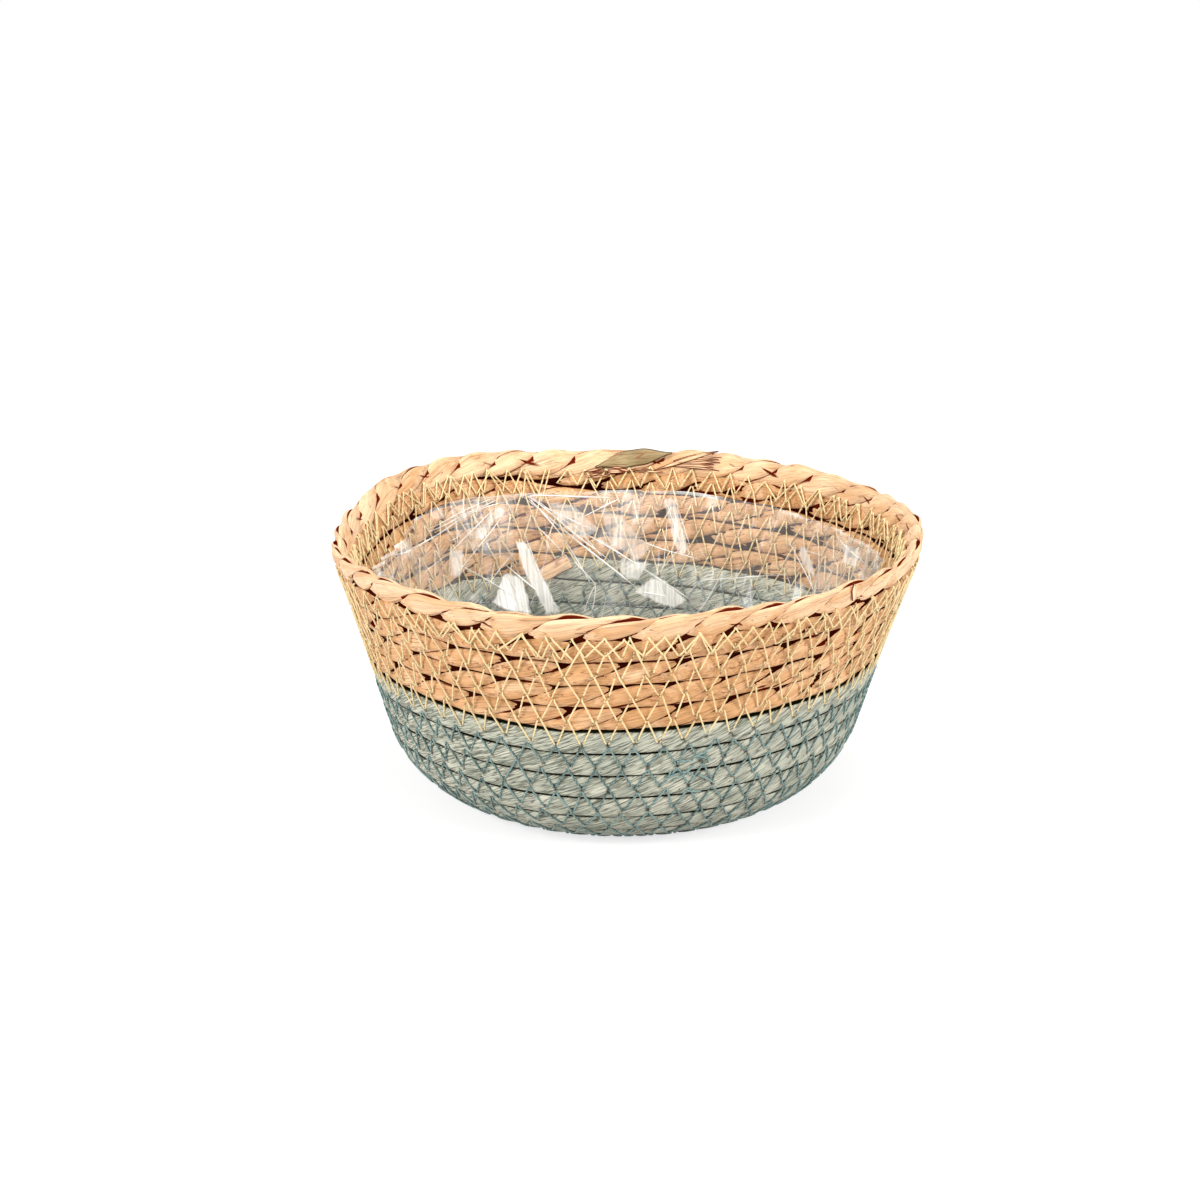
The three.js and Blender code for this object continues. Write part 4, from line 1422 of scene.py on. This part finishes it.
def film_folds_and_highlights(steps=13):
    """The film's sharp folds as thin white lines, partly painted highlight, that taper to both ends: a
    parabola through three places of the flat film, at the height of a parabola fitted to the film's along it.
    The long ones are placed and the short ones are straight and random."""
    rng = np.random.default_rng(82)
    count = 120
    turn = rng.uniform(0, 2 * math.pi, count)
    reach = np.sqrt(rng.uniform(0.062 ** 2, 0.146 ** 2, count))
    aim = turn + rng.normal(0, 0.8, count) + math.pi
    length = rng.uniform(0.010, 0.038, count)
    starts = np.stack([reach * np.cos(turn), reach * np.sin(turn)], axis=-1)
    ends = starts + length[:, None] * np.stack([np.cos(aim), np.sin(aim)], axis=-1)
    placed = 0.001 * np.array(LONG_FOLDS)
    middles = np.concatenate([placed[:, 2:4], (starts + ends) / 2])
    starts, ends = np.concatenate([placed[:, 0:2], starts]), np.concatenate([placed[:, 4:6], ends])
    thick = np.concatenate([placed[:, 6], rng.uniform(0.00018, 0.00038, count)])

    share = np.linspace(0, 1, steps)
    weights = ((1 - share) * (1 - 2 * share), 4 * share * (1 - share), share * (2 * share - 1))
    knots = (starts, middles, ends)
    flat = sum(knot[:, None] * weight[None, :, None] for knot, weight in zip(knots, weights))
    angle = np.arctan2(flat[..., 1], flat[..., 0])
    along = np.minimum(np.hypot(flat[..., 0], flat[..., 1]), RIM_EDGE - FILM_DROP - 0.0015)
    square, slope, level = np.polyfit(share, film_height(flat, along, angle).T, 2)[:, :, None]
    inward = square * share ** 2 + slope * share + level
    least = ROPE_THICKNESS / 2 + 0.0008
    paths = wall_point(angle, along, -(np.maximum(inward, least) + 0.0001))
    taper = np.sqrt(np.clip(1 - (2 * share - 1) ** 2, 0.03, 1))
    return paths, thick[:, None] / 2 * taper[None, :]


class BASKET_OT_film(bpy.types.Operator):
    """Lays the creased clear film inside the basket"""

    bl_idname = "basket.film"
    bl_label = "Film liner"

    def execute(self, context):
        film = context.scene.basket_film
        line = np.linspace(-1, 1, film.cells + 1)
        x, y = np.meshgrid(line, line, indexing="ij")
        # A square grid drawn out to a disc: each side's middle stays and the corners come in to the circle
        u, v = x * np.sqrt(1 - y * y / 2), y * np.sqrt(1 - x * x / 2)
        reach, angle = np.hypot(u, v), np.arctan2(v, u)
        top = RIM_EDGE - film.drop + 0.0012 * ripple(angle, 2, 7, 71)
        along = reach * top
        flat = np.stack([along * np.cos(angle), along * np.sin(angle)], axis=-1)
        inward = film_height(flat, along, angle)
        points, faces = closed_sheet(
            wall_point(angle, along, -(inward + film.thickness)), wall_point(angle, along, -inward), flat,
        )
        glare, white, across = glare_fields(flat)
        fields = {"glare": glare, "white": white, "across": across, "edge": top - along}
        values = {name: np.concatenate([field.ravel()] * 2) for name, field in fields.items()}
        piece = mesh_piece("film_liner", points, faces, values, film_material(), ["liner"])
        paths, radii = film_folds_and_highlights()
        parts = tubes_parts(paths, radii, sides=4)
        folds = add_piece("film_folds_and_highlights", parts, fold_and_highlight_material(), ["liner"])
        return {"FINISHED"}


# Studio


def seen_share(tree):
    """1 where the eye meets a surface directly, in a reflection or through the film, and 0 where light
    does."""
    path = add_node(tree, "ShaderNodeLightPath").outputs
    seen = path["Is Camera Ray"]
    for ray in ("Is Glossy Ray", "Is Transmission Ray"):
        seen = add_node(tree, "ShaderNodeMath", {0: seen, 1: path[ray]}, operation="MAXIMUM")
    return seen


class BASKET_OT_studio(bpy.types.Operator):
    """Sets the floor, the lamps, the world and the camera"""

    bl_idname = "basket.studio"
    bl_label = "Studio"

    def execute(self, context):
        scene = context.scene
        self.add_floor(scene)
        for name, place, size, watts in SOFTBOXES:
            self.add_lamp(scene, name, Vector(place), size, watts)
        self.set_world(scene)
        self.add_camera(scene, scene.basket_studio)
        scene.view_settings.view_transform = "Standard"
        return {"FINISHED"}

    @staticmethod
    def add_floor(scene):
        """A pale seamless floor. The camera, and what is mirrored or seen through, meet it nearly white."""
        half = FLOOR_HALF
        mesh = bpy.data.meshes.new("floor")
        corners = [(-half, -half, 0), (half, -half, 0), (half, half, 0), (-half, half, 0)]
        mesh.from_pydata(corners, [], [(0, 1, 2, 3)])
        material, tree = new_material("pale_paper_backdrop")
        plain = add_node(tree, "ShaderNodeBsdfDiffuse", {"Color": (0.72, 0.72, 0.72)})
        shaded = add_node(tree, "ShaderNodeBsdfDiffuse", {"Color": (0.42, 0.42, 0.42)})
        glow = add_node(tree, "ShaderNodeEmission", {"Color": (1, 1, 1), "Strength": 0.70})
        lit = add_node(tree, "ShaderNodeAddShader", {0: shaded, 1: glow})
        both = add_node(tree, "ShaderNodeMixShader", {0: seen_share(tree), 1: plain, 2: lit})
        add_node(tree, "ShaderNodeOutputMaterial", {"Surface": both})
        mesh.materials.append(material)
        floor = bpy.data.objects.new("floor", mesh)
        floor.location.z = -FLOOR_DROP
        scene.collection.objects.link(floor)

    @staticmethod
    def add_lamp(scene, name, place, size, watts):
        """A square softbox that faces the middle of the basket."""
        data = bpy.data.lights.new(name, "AREA")
        data.shape, data.size, data.energy = "SQUARE", size, watts
        lamp = bpy.data.objects.new(name, data)
        lamp.location = place
        lamp.rotation_euler = (place - Vector(LAMP_AIM)).to_track_quat("Z", "Y").to_euler()
        scene.collection.objects.link(lamp)

    @staticmethod
    def set_world(scene):
        """White where it is seen, and soft even light on the basket."""
        world = bpy.data.worlds.new("studio")
        scene.world = world
        world.use_nodes = True
        tree = world.node_tree
        tree.nodes.clear()
        soft = add_node(tree, "ShaderNodeBackground", {"Color": (1, 1, 1), "Strength": 0.45})
        white = add_node(tree, "ShaderNodeBackground", {"Color": (1, 1, 1), "Strength": 1.0})
        both = add_node(tree, "ShaderNodeMixShader", {0: seen_share(tree), 1: soft, 2: white})
        add_node(tree, "ShaderNodeOutputWorld", {"Surface": both})

    @staticmethod
    def add_camera(scene, studio):
        """The photograph's view, fitted to the basket's outline. The lens grows with the distance, so the
        basket stays as large, and the shift puts it where it is framed."""
        data = bpy.data.cameras.new("camera")
        data.sensor_width = 36
        data.lens = LENS_PER_METRE * studio.distance
        data.shift_x, data.shift_y = FRAME_SHIFT
        data.clip_start, data.clip_end = 0.01, 20
        camera = bpy.data.objects.new("camera", data)
        back = Vector((0, -math.cos(studio.elevation), math.sin(studio.elevation)))
        camera.location = Vector(CAMERA_AIM) + studio.distance * back
        camera.rotation_euler = back.to_track_quat("Z", "Y").to_euler()
        scene.collection.objects.link(camera)
        scene.camera = camera


# Panel


SETTINGS = {
    "basket_rope": BasketRopeSettings,
    "basket_straw": BasketStrawSettings,
    "basket_thread": BasketThreadSettings,
    "basket_film": BasketFilmSettings,
    "basket_studio": BasketStudioSettings,
}
OPERATORS = (
    BASKET_OT_studio, BASKET_OT_rope, BASKET_OT_straw, BASKET_OT_rim, BASKET_OT_loose_ends,
    BASKET_OT_stitches,
    BASKET_OT_film,
)


class BASKET_PT_panel(bpy.types.Panel):
    """Settings and steps of the straw basket"""

    bl_label = "Straw basket"
    bl_space_type = "VIEW_3D"
    bl_region_type = "UI"
    bl_category = "Basket"

    def draw(self, context):
        for group, kind in SETTINGS.items():
            box = self.layout.box()
            for name in kind.__annotations__:
                box.prop(getattr(context.scene, group), name)
        for operator in OPERATORS:
            self.layout.operator(operator.bl_idname)


def register():
    for kind in (*SETTINGS.values(), *OPERATORS, BASKET_PT_panel):
        bpy.utils.register_class(kind)
    for name, kind in SETTINGS.items():
        setattr(bpy.types.Scene, name, PointerProperty(type=kind))


def unregister():
    for name in SETTINGS:
        delattr(bpy.types.Scene, name)
    for kind in reversed((*SETTINGS.values(), *OPERATORS, BASKET_PT_panel)):
        bpy.utils.unregister_class(kind)


def main():
    register()
    bpy.ops.basket.studio()
    bpy.ops.basket.rope()
    bpy.ops.basket.straw()
    bpy.ops.basket.rim()
    bpy.ops.basket.loose_ends()
    bpy.ops.basket.stitches()
    bpy.ops.basket.film()


if __name__ == "__main__":
    main()
